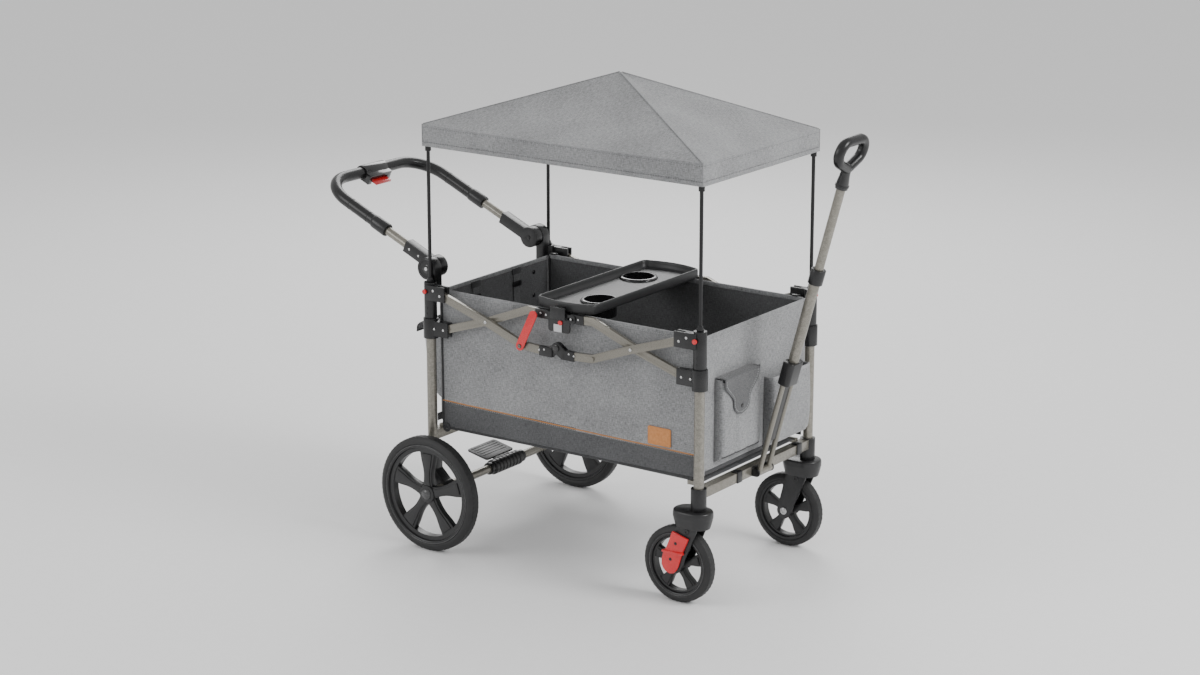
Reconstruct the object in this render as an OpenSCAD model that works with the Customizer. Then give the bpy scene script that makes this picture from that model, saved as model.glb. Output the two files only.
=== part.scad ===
// Folding pull wagon for children: a scissor-folding tube frame on two large rear wheels and
// two front castors, with a fabric basket, a push handle, a pull handle, a tray and a canopy.
// +X points to the front (pull handle), +Z up, and the origin is on the floor under the basket.

/* [Frame] */
// Distance between the front and rear posts, centre to centre
posts_x = 806; // [740:1:900]
// Distance between the near and far posts, centre to centre
posts_y = 492; // [440:1:560]
// Outer diameter of the posts
post_d = 25; // [22:0.5:28]
// Wall of the posts and other frame tubes
tube_wall = 2; // [1:0.1:2.5]
// Height of the top of the posts
post_top_z = 670; // [640:1:760]
// Height of the lower end of the rear posts
rear_post_foot_z = 185; // [170:1:200]
// Height and depth of the cross beams
beam = 24; // [18:1:26]
// Height of the underside of the cross beams
beam_z = 268; // [262:1:275]

/* [Corner mouldings] */
// Outer diameter of the sleeve on each post
sleeve_d = 32; // [30:0.5:36]
// Height of the lower end of the sleeve
sleeve_z = 585; // [570:1:590]
// Thickness of the sleeve's roof above the post
sleeve_roof = 7; // [4:0.5:12]
// Outer diameter of the sliding collar
slider_d = 38; // [34:0.5:42]
// Length of the sliding collar
slider_len = 51; // [44:1:56]

/* [Scissor linkage] */
// Distance of the end pins from the post axis
pin_inset = 46; // [42:1:56]
// Height of the fixed upper pin
top_pin_z = 650; // [640:1:655]
// Height of the pin on the sliding collar
slider_pin_z = 560; // [550:1:562]
// Distance of the crossing rivet from the end pins, along X
cross_run = 140; // [110:1:160]
// Distance of the lower bend from the middle
low_bend_x = 106; // [90:1:130]
// Height of the lower bend
low_bend_z = 564; // [560:1:570]
// Height of the level end of the lower bars
low_end_z = 560; // [556:1:564]
// Height of the folding hinge in the middle
low_hinge_z = 575; // [574:1:582]
// Distance of the upper bend from the middle
high_bend_x = 97; // [88:1:120]
// Height of the upper bend
high_bend_z = 652; // [646:1:656]
// Distance of the upper centre pins from the middle
centre_pin_x = 37; // [34:1:44]
// Height of the flat bars
bar_h = 20; // [16:1:20]
// Thickness of the flat bars
bar_t = 10; // [8:0.5:10]
// Radius of the linkage pins
pin_r = 3; // [2.5:0.5:4]

/* [Rear wheels] */
// Radius of the rear wheels
rear_wheel_r = 148; // [135:1:160]
// Width of the rear wheels
rear_wheel_w = 36; // [30:1:42]
// Distance of the rear wheel centres outside the rear posts
rear_wheel_off = 64; // [60:1:84]
// How far the rear axle lies ahead of the rear posts
axle_lead = 39; // [30:1:50]
// Radius of the axle tube
axle_tube_r = 11; // [9:0.5:13]
// Radius of the axle shaft
axle_r = 6; // [5:0.5:8]

/* [Castors] */
// Radius of the front wheels
front_wheel_r = 95; // [85:1:98]
// Width of the front wheels
front_wheel_w = 34; // [28:1:38]
// Distance of the front wheel axle behind the swivel axis
castor_trail = 52; // [40:1:60]
// Outer diameter of the castor socket
socket_d = 38; // [34:1:42]
// Height of the underside of the castor socket
socket_z = 238; // [232:1:242]

/* [Basket] */
// Thickness of the fabric walls
fabric_t = 3; // [2:0.5:4]
// Height of the top edge of the basket
basket_top_z = 657; // [630:1:659]
// Height of the bottom edge of the basket sides
basket_z = 296; // [295:1:300]
// Thickness of the folding floor boards
board_t = 4; // [3:0.5:6]
// Distance of the floor pivots from the middle
floor_pivot_x = 360; // [320:1:362]
// Height of the floor pivots
floor_pivot_z = 304; // [304:0.5:306]

/* [Push handle] */
// Height of the push handle's pivot
push_pivot_z = 705; // [700:1:715]
// How far the pivot lies behind the rear posts
push_pivot_back = 19; // [14:1:24]
// Angle of the arms above the horizontal
push_rise = 24; // [10:1:35]
// Distance from the pivot to the middle of the crossbar
push_reach = 408; // [360:1:460]
// Distance of the arms from the middle plane
push_arm_y = 198; // [180:1:198]
// Radius of the inner tubes
push_tube_r = 11; // [9:0.5:12]
// Radius of the padded grip
push_grip_r = 15; // [13.5:0.5:17]
// Bend radius of the grip
push_bend_r = 90; // [60:1:95]

/* [Pull handle] */
// Height of the pull handle's pivot
pull_pivot_z = 278; // [274:1:284]
// Lean of the pull handle away from the vertical
pull_lean = 15.4; // [12:0.1:30]
// Length of the lower fork, up to the top of its sleeve
pull_fork_len = 298; // [260:1:330]
// Distance from the pivot to the top of the telescope's collar
pull_collar_top = 541; // [500:1:580]
// Distance from the pivot to the grip's neck
pull_neck = 752; // [720:1:800]
// Radius of the inner tube
pull_tube_r = 11; // [9:0.5:12]
// Distance of the fork's tubes from the middle plane
pull_fork_y = 20; // [16:1:24]
// Radius of the grip loop's bar
pull_grip_r = 13; // [10:0.5:14]

/* [Tray] */
// Length of the tray along X
tray_x = 172; // [160:1:190]
// Gap between the bars' ends and the tray
tray_lift = 0.5; // [0.3:0.1:3]
// How far the tray's ends stop short of the post axes
tray_short = 3; // [1:0.5:12]
// Height of the tray's rim
tray_h = 24.5; // [20:0.5:28]
// Radius of the cup holders
cup_r = 39; // [34:0.5:42]
// Depth of the cup wells below the tray's plate
cup_depth = 36; // [25:1:45]

/* [Canopy] */
// Overhang of the canopy beyond the poles, along X
canopy_over_x = 11; // [11:1:40]
// Overhang of the canopy beyond the poles, along Y
canopy_over_y = 11; // [11:1:40]
// Height of the valance's lower edge
canopy_z = 1021; // [950:1:1100]
// Height of the valance
valance_h = 55; // [40:1:80]
// Height of the peak above the eaves
canopy_rise = 136; // [80:1:180]
// Radius of the poles
pole_r = 4.5; // [4:0.1:5.5]

/* [Fits] */
// Gap between pieces that move past each other
gap = 0.3; // [0.2:0.05:0.5]
// Radial clearance of a pin or shaft in its bore
run = 0.05; // [0.02:0.01:0.1]
// Clearance between pieces fixed to each other
seat = 0.1; // [0.05:0.05:0.2]

/* [Hidden] */
$fn = 48;

eps = 0.01;
post_x = posts_x / 2;
post_y = posts_y / 2;
post_r = post_d / 2;
post_bore_r = post_r - tube_wall;
beam_top = beam_z + beam;
wall_y = post_y - post_r - 6;
wall_x = post_x - 7;
sleeve_r = sleeve_d / 2;
sleeve_top = post_top_z + sleeve_roof;

// Linkage: the inner bars lie in line with the posts, the outer bars just outside them
inner_y0 = post_y - bar_t / 2;
inner_y1 = post_y + bar_t / 2;
outer_y0 = inner_y1 + 2;
outer_y1 = outer_y0 + bar_t;
cheek = 4.5;
pin_x = post_x - pin_inset;
cross_x = pin_x - cross_run;
cross_z = (top_pin_z + slider_pin_z) / 2;
cross_r = 4;
bracket_h = 38;
bracket_tip = pin_x - 14;
slot_x = pin_x + bar_h / 2 + 2.5;
link_y = outer_y1 + 5.5;
knuckle_r = 13;
knuckle_in = 14;
knuckle_out = 52;
tongue_y0 = outer_y0 + 2;
tongue_y1 = outer_y1 - 2;
bar_end_h = bar_h + 2;
bar_end_out = 72;
shield_t = 3.4;
plate_in0 = inner_y0 - 1.6 - shield_t;
plate_out1 = inner_y1 + 1.6 + shield_t;
slot_slack = 7;
button_r = 6;

champagne = [0.62, 0.60, 0.55];
black = [0.10, 0.10, 0.11];
dark = [0.17, 0.17, 0.18];
red = [0.85, 0.13, 0.13];
grey = [0.60, 0.61, 0.63];
slate = [0.33, 0.34, 0.37];

module pair_y() {
    children();
    mirror([0, 1, 0]) children();
}

// A flat outline in X and Z, given the thickness from y0 to y1
module plate_y(y0, y1) {
    translate([0, y1, 0]) rotate([90, 0, 0]) linear_extrude(y1 - y0) children();
}

module rod_y(x, z, r, y0, y1) {
    translate([x, y1, z]) rotate([90, 0, 0]) cylinder(r = r, h = y1 - y0);
}

module tube_z(x, y, ro, ri, z0, z1) {
    translate([x, y, z0]) difference() {
        cylinder(r = ro, h = z1 - z0);
        translate([0, 0, -1]) cylinder(r = ri, h = z1 - z0 + 2);
    }
}

module block(x0, x1, y0, y1, z0, z1) {
    translate([x0, y0, z0]) cube([x1 - x0, y1 - y0, z1 - z0]);
}

// A flat strip of height h through a list of points, with round ends
module strip(points, h) {
    last = len(points) - 1;
    polygon(concat([for (i = [0 : last]) points[i] + h / 2 * mitre(points, i)],
        end_arc(points[last], h / 2, mitre(points, last)),
        [for (i = [last : -1 : 0]) points[i] - h / 2 * mitre(points, i)],
        end_arc(points[0], h / 2, -mitre(points, 0))));
}

// Points of a half circle round p, clockwise from the side that v points to
function end_arc(p, r, v) = [for (t = [12 : 12 : 168]) p + r * [v[0] * cos(t) + v[1] * sin(t),
    v[1] * cos(t) - v[0] * sin(t)]];

// Left-hand normal of the line from a to b
function left(a, b) = [a[1] - b[1], b[0] - a[0]] / norm(b - a);

// Direction and length of the mitre at a line's point, for an edge one unit to its left
function mitre(p, i) = let (last = len(p) - 1, j = max(i, 1), k = min(i, last - 1),
    n0 = left(p[j - 1], p[j]), n1 = left(p[k], p[k + 1])) (n0 + n1) / (1 + n0 * n1);

module round_rect(w, l, r) {
    square([w - 2 * r, l], center = true);
    square([w, l - 2 * r], center = true);
    for (sx = [-1, 1], sy = [-1, 1])
        translate([sx * (w / 2 - r), sy * (l / 2 - r)]) circle(r);
}

// ---------- posts, corners and beams ----------
module posts(x, foot_z) {
    color(champagne) pair_y() tube_z(x, post_y, post_r, post_bore_r, foot_z, post_top_z);
}

module rear_posts() { posts(-post_x, rear_post_foot_z); }

front_post_foot_z = socket_z + 17;
module front_posts() { posts(post_x, front_post_foot_z); }

// Sleeve, clevis for the outer bar, pin and pole lock button, for the rear right corner
module corner_joint() {
    difference() {
        union() {
            translate([-post_x, post_y, sleeve_z]) cylinder(r = sleeve_r, h = sleeve_top - sleeve_z);
            block(-post_x, -bracket_tip, post_y, outer_y1 + gap + cheek,
                top_pin_z - bracket_h / 2 + 4, top_pin_z + bracket_h / 2 + 4);
        }
        translate([-post_x, post_y, sleeve_z - 1])
            cylinder(r = post_r + seat, h = post_top_z - sleeve_z + 1 + seat);
        translate([-post_x, post_y, post_top_z - 1]) cylinder(r = pole_r + run, h = sleeve_roof + 2);
        block(-slot_x, -bracket_tip + 1, outer_y0 - gap, outer_y1 + gap,
            top_pin_z - bracket_h, top_pin_z + bracket_h);
    }
    rod_y(-pin_x, top_pin_z, pin_r, outer_y0 - gap - eps, outer_y1 + gap + eps);
    // pole lock button
    rod_y(-post_x, top_pin_z + 6, button_r, post_y + sleeve_r + 6 + seat, post_y + sleeve_r + 10);
}

module rear_corner_joints() { color(black) pair_y() corner_joint(); }

// The front corners carry the castor sockets too, moulded in the same black plastic
module front_corner_joints() {
    color(black) pair_y() {
        mirror([1, 0, 0]) corner_joint();
        difference() {
            translate([post_x, post_y, socket_z]) cylinder(d = socket_d, h = beam_top - socket_z + 1);
            translate([post_x, post_y, front_post_foot_z])
                cylinder(r = post_r + seat, h = beam_top);
            translate([post_x, post_y, socket_z - 1]) cylinder(r = axle_r + run, h = 40);
        }
    }
}

module cross_beam(x, end_r) {
    color(champagne) difference() {
        block(x - beam / 2, x + beam / 2, -post_y + 4, post_y - 4, beam_z, beam_top);
        block(x - beam / 2 + tube_wall, x + beam / 2 - tube_wall, -post_y, post_y,
            beam_z + tube_wall, beam_top - tube_wall);
        pair_y() translate([x, post_y, beam_z - 1]) cylinder(r = end_r, h = beam + 2);
    }
}

// Floor pivots: the rear bars hang on pins, the front bars rest on a shelf
floor_edge_y = wall_y - fabric_t - 6;
bar_in_y0 = floor_edge_y - 13;
bar_in_y1 = floor_edge_y - 7;
bar_out_y0 = floor_edge_y - 6;
bar_out_y1 = floor_edge_y;
floor_bar_h = 14;

module rear_beam() {
    cross_beam(-post_x, post_r + seat);
    color(black) pair_y() {
        plate_y(bar_out_y0 + gap, bar_out_y1)
            strip([[-post_x + 5, beam_top + 5], [-floor_pivot_x, floor_pivot_z]], floor_bar_h - 1);
        block(-post_x, -post_x + beam / 2, bar_out_y0 + gap, bar_out_y1, beam_top - eps, beam_top + 6);
        rod_y(-floor_pivot_x, floor_pivot_z, pin_r, bar_in_y0, bar_out_y1);
    }
}

module front_beam() {
    cross_beam(post_x, socket_d / 2 + seat);
    color(black) pair_y() block(floor_pivot_x - 8, post_x - beam / 2 + eps, bar_in_y0, bar_out_y1,
        beam_top - 6, floor_pivot_z - floor_bar_h / 2 - gap);
}

// ---------- rear axle and brake ----------
axle_x = -post_x + axle_lead;
axle_z = rear_wheel_r;
axle_boss_r = 20;
bracket_half = 16;
rear_wheel_y = post_y + rear_wheel_off;
rear_wheel_in = rear_wheel_y - rear_wheel_w / 2;
rear_wheel_out = rear_wheel_y + rear_wheel_w / 2;
pedal_half = 58;
clamp_w = 12;

module axle_brackets() {
    color(black) {
        pair_y() difference() {
            plate_y(post_y - bracket_half, post_y + bracket_half) {
                translate([-post_x - 17, rear_post_foot_z - 5]) square([34, 65]);
                strip([[-post_x, rear_post_foot_z], [axle_x, axle_z]], 2 * axle_boss_r - 6);
                translate([axle_x, axle_z]) circle(axle_boss_r);
            }
            translate([-post_x, post_y, rear_post_foot_z]) cylinder(r = post_r + seat, h = 80);
            rod_y(axle_x, axle_z, axle_tube_r + seat, 0, 2 * post_y);
        }
        // stops that keep the brake pedal in the middle of the axle
        pair_y() difference() {
            rod_y(axle_x, axle_z, axle_tube_r + 5, pedal_half + gap, pedal_half + gap + clamp_w);
            rod_y(axle_x, axle_z, axle_tube_r + seat, 0, 2 * pedal_half);
        }
    }
}

module rear_axle() {
    color(champagne) {
        difference() {
            rod_y(axle_x, axle_z, axle_tube_r, -rear_wheel_in + 9, rear_wheel_in - 9);
            rod_y(axle_x, axle_z, axle_r, -post_y, post_y);
        }
        difference() {
            rod_y(axle_x, axle_z, axle_r, -rear_wheel_out + 3, rear_wheel_out - 3);
            rod_y(axle_x, axle_z, axle_r + 1, -post_y, post_y);
        }
    }
}

pedal_len = 72;
pedal_t = 5;
module brake_pedal() {
    color(dark) difference() {
        union() {
            rod_y(axle_x, axle_z, axle_tube_r + 6, -pedal_half, pedal_half);
            // foot plate, behind the axle and tilted up
            translate([axle_x, 0, axle_z]) rotate([0, 12, 0])
                block(-pedal_len, 0, -pedal_half, pedal_half, axle_tube_r + 6 - pedal_t, axle_tube_r + 6);
        }
        rod_y(axle_x, axle_z, axle_tube_r + run, -post_y, post_y);
    }
}

// ---------- wheels ----------
// Rim with hub, ring and five flared spokes, axle along Y; a capped rim covers the axle's end
// on its +Y side
module rim(r_ring, ring_t, w, hub_r, spoke_in, spoke_out, capped) {
    spoke_w = w * 0.5;
    spoke_r = r_ring - ring_t / 2;
    difference() {
        union() {
            difference() {
                rod_y(0, 0, r_ring, -w / 2 + 2, w / 2 - 2);
                rod_y(0, 0, r_ring - ring_t, -w, w);
            }
            rod_y(0, 0, hub_r, -w / 2 + gap, w / 2 - 1);
            plate_y(-spoke_w / 2, spoke_w / 2) for (i = [0 : 4]) rotate(90 + 72 * i)
                polygon([[hub_r / 2, -spoke_in / 2], [spoke_r, -spoke_out / 2],
                    [spoke_r, spoke_out / 2], [hub_r / 2, spoke_in / 2]]);
        }
        rod_y(0, 0, axle_r + run, -w, w);
    }
    if (capped) rod_y(0, 0, hub_r * 0.8, w / 2 - 1, w / 2 + 5);
}

// Tyre with rounded shoulders
module tyre(r_out, r_in, w) {
    shoulder = 8;
    color(black) rotate([90, 0, 0]) rotate_extrude($fn = 96) {
        translate([r_in, -w / 2]) square([r_out - r_in - shoulder, w]);
        translate([r_in, -w / 2 + shoulder]) square([r_out - r_in, w - 2 * shoulder]);
        for (s = [-1, 1]) translate([r_out - shoulder, s * (w / 2 - shoulder)]) circle(shoulder);
    }
}

rear_ring_r = rear_wheel_r - 20;
front_ring_r = front_wheel_r - 17;

module rear_rim(side) {
    color(dark) mirror([0, side < 0 ? 1 : 0, 0]) translate([axle_x, rear_wheel_y, axle_z])
        rim(rear_ring_r, 18, rear_wheel_w, 22, 26, 44, true);
}

module rear_tyre(side) {
    translate([axle_x, side * rear_wheel_y, axle_z])
        tyre(rear_wheel_r, rear_ring_r + seat, rear_wheel_w);
}

module rear_rim_near() { rear_rim(-1); }
module rear_rim_far() { rear_rim(1); }
module rear_tyre_near() { rear_tyre(-1); }
module rear_tyre_far() { rear_tyre(1); }

castor_x = post_x - castor_trail;
fork_in = front_wheel_w / 2 + 2;
fork_arm_t = 5;
fork_out = fork_in + fork_arm_t;
fork_arm_w = 44;
fork_head_r = 36;
fork_head_z = 2 * front_wheel_r + 4;
fork_top = socket_z - gap;
lock_t = 5;

module front_rim(side) {
    color(dark) mirror([0, side < 0 ? 1 : 0, 0]) translate([castor_x, post_y, front_wheel_r])
        rim(front_ring_r, 11, front_wheel_w, 18, 15, 30, false);
}

module front_tyre(side) {
    translate([castor_x, side * post_y, front_wheel_r])
        tyre(front_wheel_r, front_ring_r + seat, front_wheel_w);
}

module front_rim_near() { front_rim(-1); }
module front_rim_far() { front_rim(1); }
module front_tyre_near() { front_tyre(-1); }
module front_tyre_far() { front_tyre(1); }

// Fork with a domed head, two arms, the axle bolt and the swivel stem
module castor_fork(side) {
    arm_top = [post_x - 18, fork_top - 26];
    color(dark) translate([0, side * post_y, 0]) {
        // head
        for (x = [post_x, post_x - 30]) translate([x, 0, fork_head_z])
            cylinder(r = fork_head_r, h = fork_top - fork_head_z);
        block(post_x - 30, post_x, -fork_head_r, fork_head_r, fork_head_z, fork_top);
        // arms
        for (s = [0, 1]) mirror([0, s, 0]) plate_y(fork_in, fork_out)
            strip([arm_top, [castor_x, front_wheel_r]], fork_arm_w);
        // axle bolt and swivel stem
        rod_y(castor_x, front_wheel_r, axle_r, -fork_out, fork_out);
        translate([post_x, 0, fork_top - eps]) cylinder(r = axle_r, h = front_post_foot_z - fork_top - 1);
    }
}

module castor_fork_near() { castor_fork(-1); }
module castor_fork_far() { castor_fork(1); }

lock_x = castor_x + 14;
lock_z = front_wheel_r + 58;
// Foot lock on the fork's outer arm, turning on a short pin
module castor_lock(side) {
    color(red) translate([0, side * post_y, 0]) mirror([0, side < 0 ? 1 : 0, 0])
        plate_y(fork_out + gap, fork_out + gap + lock_t)
            strip([[lock_x + 7, lock_z + 12], [lock_x - 22, lock_z - 58]], 40);
}

module castor_lock_near() { castor_lock(-1); }
module castor_lock_far() { castor_lock(1); }

// ---------- scissor linkage ----------
outer_bar_points = [[-pin_x, top_pin_z], [-cross_x, cross_z], [-low_bend_x, low_bend_z],
    [-knuckle_in - 16, low_end_z]];
inner_bar_points = [[-pin_x, slider_pin_z], [-cross_x, cross_z], [-high_bend_x, high_bend_z],
    [-centre_pin_x - 22, top_pin_z]];

// Outer bar of the rear right side, with the crossing rivet
module outer_bar() {
    difference() {
        plate_y(outer_y0, outer_y1) strip(outer_bar_points, bar_h);
        rod_y(-pin_x, top_pin_z, pin_r + run, 0, 2 * post_y);
    }
    rod_y(-cross_x, cross_z, cross_r, inner_y0 - 1, outer_y0 + eps);
    rod_y(-cross_x, cross_z, cross_r + 2, inner_y0 - 3, inner_y0 - gap);
    rod_y(-cross_x, cross_z, cross_r + 1, outer_y1 - eps, outer_y1 + 1.5);
}

module rear_outer_bars() {
    color(champagne) {
        pair_y() outer_bar();
        // pin of the lock link, on the near side
        mirror([0, 1, 0])
            rod_y(-low_bend_x, low_bend_z, cross_r, outer_y1 - eps, link_y + 5);
    }
}

module front_outer_bars() {
    color(champagne) pair_y() {
        mirror([1, 0, 0]) outer_bar();
        // stud that the lock link catches when folded
        rod_y(low_bend_x, low_bend_z, button_r, outer_y1 - eps, outer_y1 + 4);
    }
}

// Sleeve on the end of a lower bar, for the rear right side, without its hinge leaf
module knuckle_sleeve() {
    difference() {
        block(-knuckle_out, -knuckle_in, outer_y0 - 1.5, outer_y1 + 1.5,
            low_end_z - bar_h / 2 - 1.5, low_end_z + bar_h / 2 + 1.5);
        plate_y(outer_y0 - seat, outer_y1 + seat) strip(outer_bar_points, bar_h + 2 * seat);
    }
}

module knuckle_leaf(y0, y1) {
    plate_y(y0, y1) strip([[-knuckle_in - 3, low_end_z + 3], [0, low_hinge_z]], 2 * knuckle_r);
}

module rear_knuckles() {
    color(black) pair_y() {
        knuckle_sleeve();
        difference() {
            knuckle_leaf(tongue_y0, tongue_y1);
            plate_y(0, 2 * post_y) strip(outer_bar_points, bar_h + 2 * seat);
            block(0, knuckle_r * 3, 0, 2 * post_y, 0, low_hinge_z - knuckle_r);
        }
        rod_y(0, low_hinge_z, pin_r, outer_y0 - 4, outer_y1 + 4);
    }
}

module front_knuckles() {
    color(black) pair_y() mirror([1, 0, 0]) {
        knuckle_sleeve();
        difference() {
            union() {
                knuckle_leaf(outer_y0 - 2, tongue_y0 - gap);
                knuckle_leaf(tongue_y1 + gap, outer_y1 + 2);
            }
            plate_y(0, 2 * post_y) strip(outer_bar_points, bar_h + 2 * seat);
            rod_y(0, low_hinge_z, pin_r + run, 0, 2 * post_y);
        }
    }
}

// Inner bar of the rear right side
module inner_bar() {
    difference() {
        plate_y(inner_y0, inner_y1) strip(inner_bar_points, bar_h);
        rod_y(-pin_x, slider_pin_z, pin_r + run, 0, 2 * post_y);
        rod_y(-cross_x, cross_z, cross_r + run, 0, 2 * post_y);
    }
}

module rear_inner_bars() { color(champagne) pair_y() inner_bar(); }
module front_inner_bars() { color(champagne) pair_y() mirror([1, 0, 0]) inner_bar(); }

// Black end of an inner bar, for the rear right side
module bar_end() {
    difference() {
        plate_y(inner_y0 - 1.3, inner_y1 + 1.3) {
            translate([-centre_pin_x, top_pin_z]) circle(d = bar_end_h);
            translate([-bar_end_out, top_pin_z - bar_end_h / 2])
                square([bar_end_out - centre_pin_x, bar_end_h]);
        }
        plate_y(inner_y0 - seat, inner_y1 + seat) strip(inner_bar_points, bar_h + 2 * seat);
    }
}

module rear_bar_ends() {
    color(black) pair_y() difference() {
        bar_end();
        rod_y(-centre_pin_x, top_pin_z, pin_r + run, 0, 2 * post_y);
    }
}

module front_bar_ends() {
    color(black) pair_y() {
        mirror([1, 0, 0]) bar_end();
        rod_y(centre_pin_x, top_pin_z, pin_r, plate_in0, plate_out1);
    }
}

// Collar that slides on a post, with a clevis for the inner bar
module slider() {
    z0 = sleeve_z - gap - slider_len;
    difference() {
        union() {
            translate([-post_x, post_y, z0]) cylinder(d = slider_d, h = slider_len);
            block(-post_x, -bracket_tip, inner_y0 - gap - cheek, inner_y1 + gap + cheek,
                slider_pin_z - bracket_h / 2, slider_pin_z + bracket_h / 2);
        }
        translate([-post_x, post_y, z0 - 1]) cylinder(r = post_r + gap, h = slider_len + 2);
        block(-slot_x, -bracket_tip + 1, inner_y0 - gap, inner_y1 + gap,
            slider_pin_z - bracket_h, slider_pin_z + bracket_h);
    }
    rod_y(-pin_x, slider_pin_z, pin_r, inner_y0 - gap - eps, inner_y1 + gap + eps);
}

module rear_sliders() { color(black) pair_y() slider(); }
module front_sliders() { color(black) pair_y() mirror([1, 0, 0]) slider(); }

// Bracket at the top centre, with its red fold button
module top_brackets() {
    plate_x = centre_pin_x + 12;
    apron_h = 37;
    color(black) pair_y() {
        difference() {
            union() {
                for (y = [plate_in0, plate_out1 - shield_t]) plate_y(y, y + shield_t)
                    translate([0, top_pin_z]) round_rect(2 * plate_x, bar_h, 6);
                plate_y(plate_out1 - shield_t, plate_out1)
                    translate([2, top_pin_z - apron_h / 2]) round_rect(2 * centre_pin_x - 10, apron_h, 6);
                block(-14, 14, plate_in0, plate_out1, top_pin_z - bar_h / 2, top_pin_z + bar_h / 2);
            }
            // slot in which the front bar's pin shifts while folding
            plate_y(0, 2 * post_y) strip([[centre_pin_x - slot_slack, top_pin_z],
                [centre_pin_x + slot_slack, top_pin_z]], 2 * (pin_r + gap));
        }
        rod_y(-centre_pin_x, top_pin_z, pin_r, plate_in0, plate_out1);
        rod_y(7, top_pin_z - 13, button_r, plate_out1 + eps, plate_out1 + 3);
    }
}

// Red link that holds the frame folded, on the near side
module lock_link() {
    tip = [-low_bend_x + 41, low_bend_z + 84];
    color(red) mirror([0, 1, 0]) difference() {
        plate_y(link_y, link_y + 3) strip([[-low_bend_x, low_bend_z], tip], 22);
        rod_y(-low_bend_x, low_bend_z, cross_r + run, 0, 2 * post_y);
    }
}

// ---------- push handle ----------
push_pivot = [-post_x - push_pivot_back, 0, push_pivot_z];
hinge_r = 28;
paddle_y0 = push_arm_y - 13.5;
paddle_y1 = push_arm_y + 13;
paddle_len = 101;
cuff_x = 170;
tube_end_x = push_reach - push_bend_r - 60;
hinge_pin_r = 5;

// Turns the handle's own frame (X along the arms, Z downwards) into place
module on_push_handle() {
    translate(push_pivot) rotate([0, 180 + push_rise, 0]) children();
}

module handle_hinge_housings() {
    y0 = paddle_y1 + gap;
    y1 = post_y - 8;
    color(black) pair_y() {
        difference() {
            plate_y(y0, y1) {
                translate([push_pivot[0], push_pivot_z]) circle(hinge_r);
                translate([push_pivot[0] + 4, top_pin_z - 10]) square([24, push_pivot_z - top_pin_z + 10]);
            }
            translate([-post_x, post_y, sleeve_z]) cylinder(r = sleeve_r + seat, h = sleeve_top - sleeve_z + seat);
        }
        rod_y(push_pivot[0], push_pivot_z, hinge_pin_r, paddle_y0 - 1, y0 + eps);
    }
}

module handle_paddles() {
    color(black) on_push_handle() pair_y() difference() {
        union() {
            rod_y(0, 0, hinge_r - 1, paddle_y0, paddle_y1);
            block(0, paddle_len, paddle_y0, paddle_y1, -15, 15);
        }
        rod_y(0, 0, hinge_pin_r + run, 0, post_y);
        translate([32, push_arm_y, 0]) rotate([0, 90, 0]) cylinder(r = push_tube_r + seat, h = paddle_len);
    }
}

module handle_tubes() {
    color(champagne) on_push_handle() pair_y() difference() {
        translate([32 + seat, push_arm_y, 0]) rotate([0, 90, 0])
            cylinder(r = push_tube_r, h = tube_end_x - 32);
        translate([31, push_arm_y, 0]) rotate([0, 90, 0])
            cylinder(r = push_tube_r - tube_wall, h = tube_end_x);
    }
}

module ring_x(ro, x0, x1, y) {
    translate([x0, y, 0]) rotate([0, 90, 0]) difference() {
        cylinder(r = ro, h = x1 - x0);
        translate([0, 0, -1]) cylinder(r = push_tube_r + run, h = x1 - x0 + 2);
    }
}

module handle_bow() {
    bend_x = push_reach - push_bend_r;
    bar_half = push_arm_y - push_bend_r;
    color(black) on_push_handle() {
        pair_y() {
            ring_x(push_grip_r, cuff_x, bend_x, push_arm_y);
            ring_x(push_grip_r + 2, cuff_x, cuff_x + 50, push_arm_y);
            translate([bend_x, bar_half, 0]) rotate_extrude(angle = 90)
                translate([push_bend_r, 0]) difference() {
                    circle(push_grip_r);
                    circle(push_tube_r + run);
                }
        }
        translate([push_reach, bar_half, 0]) rotate([90, 0, 0]) difference() {
            cylinder(r = push_grip_r, h = 2 * bar_half);
            translate([0, 0, -1]) cylinder(r = push_tube_r + run, h = 2 * bar_half + 2);
        }
    }
}

housing_half = 43;
lever_half = 29;
lever_pin_x = push_reach - 25;
lever_pin_z = 10;
module handle_housing() {
    color(black) on_push_handle() difference() {
        union() {
            rod_y(push_reach, 0, push_grip_r + 4, -housing_half, housing_half);
            plate_y(-housing_half, housing_half) translate([push_reach - 31, -8]) square([31, 27]);
        }
        rod_y(push_reach, 0, push_grip_r + seat, -post_y, post_y);
        block(push_reach - 32, push_reach - 17, -lever_half - gap, lever_half + gap, 2, 24);
        rod_y(lever_pin_x, lever_pin_z, 2 + run, -lever_half - 6, lever_half + 6);
    }
}

module handle_lever() {
    color(red) on_push_handle() {
        block(lever_pin_x - 22, lever_pin_x + 3, -lever_half, lever_half, lever_pin_z - 3, lever_pin_z + 3);
        rod_y(lever_pin_x, lever_pin_z, 2, -lever_half - 5, lever_half + 5);
    }
}

// ---------- pull handle ----------
pull_pivot_x = post_x + beam / 2 + 13;
pull_outer_r = pull_tube_r + 2;
pull_fork_r = 6.5;
barrel_r = 9;
pull_pin_r = 4;
outer_top = pull_collar_top - 19;
inner_foot = outer_top - 42;

// Turns the pull handle's own frame (Z along the pole) into place
module on_pull_handle() {
    translate([pull_pivot_x, 0, pull_pivot_z]) rotate([0, pull_lean, 0]) children();
}

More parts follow.
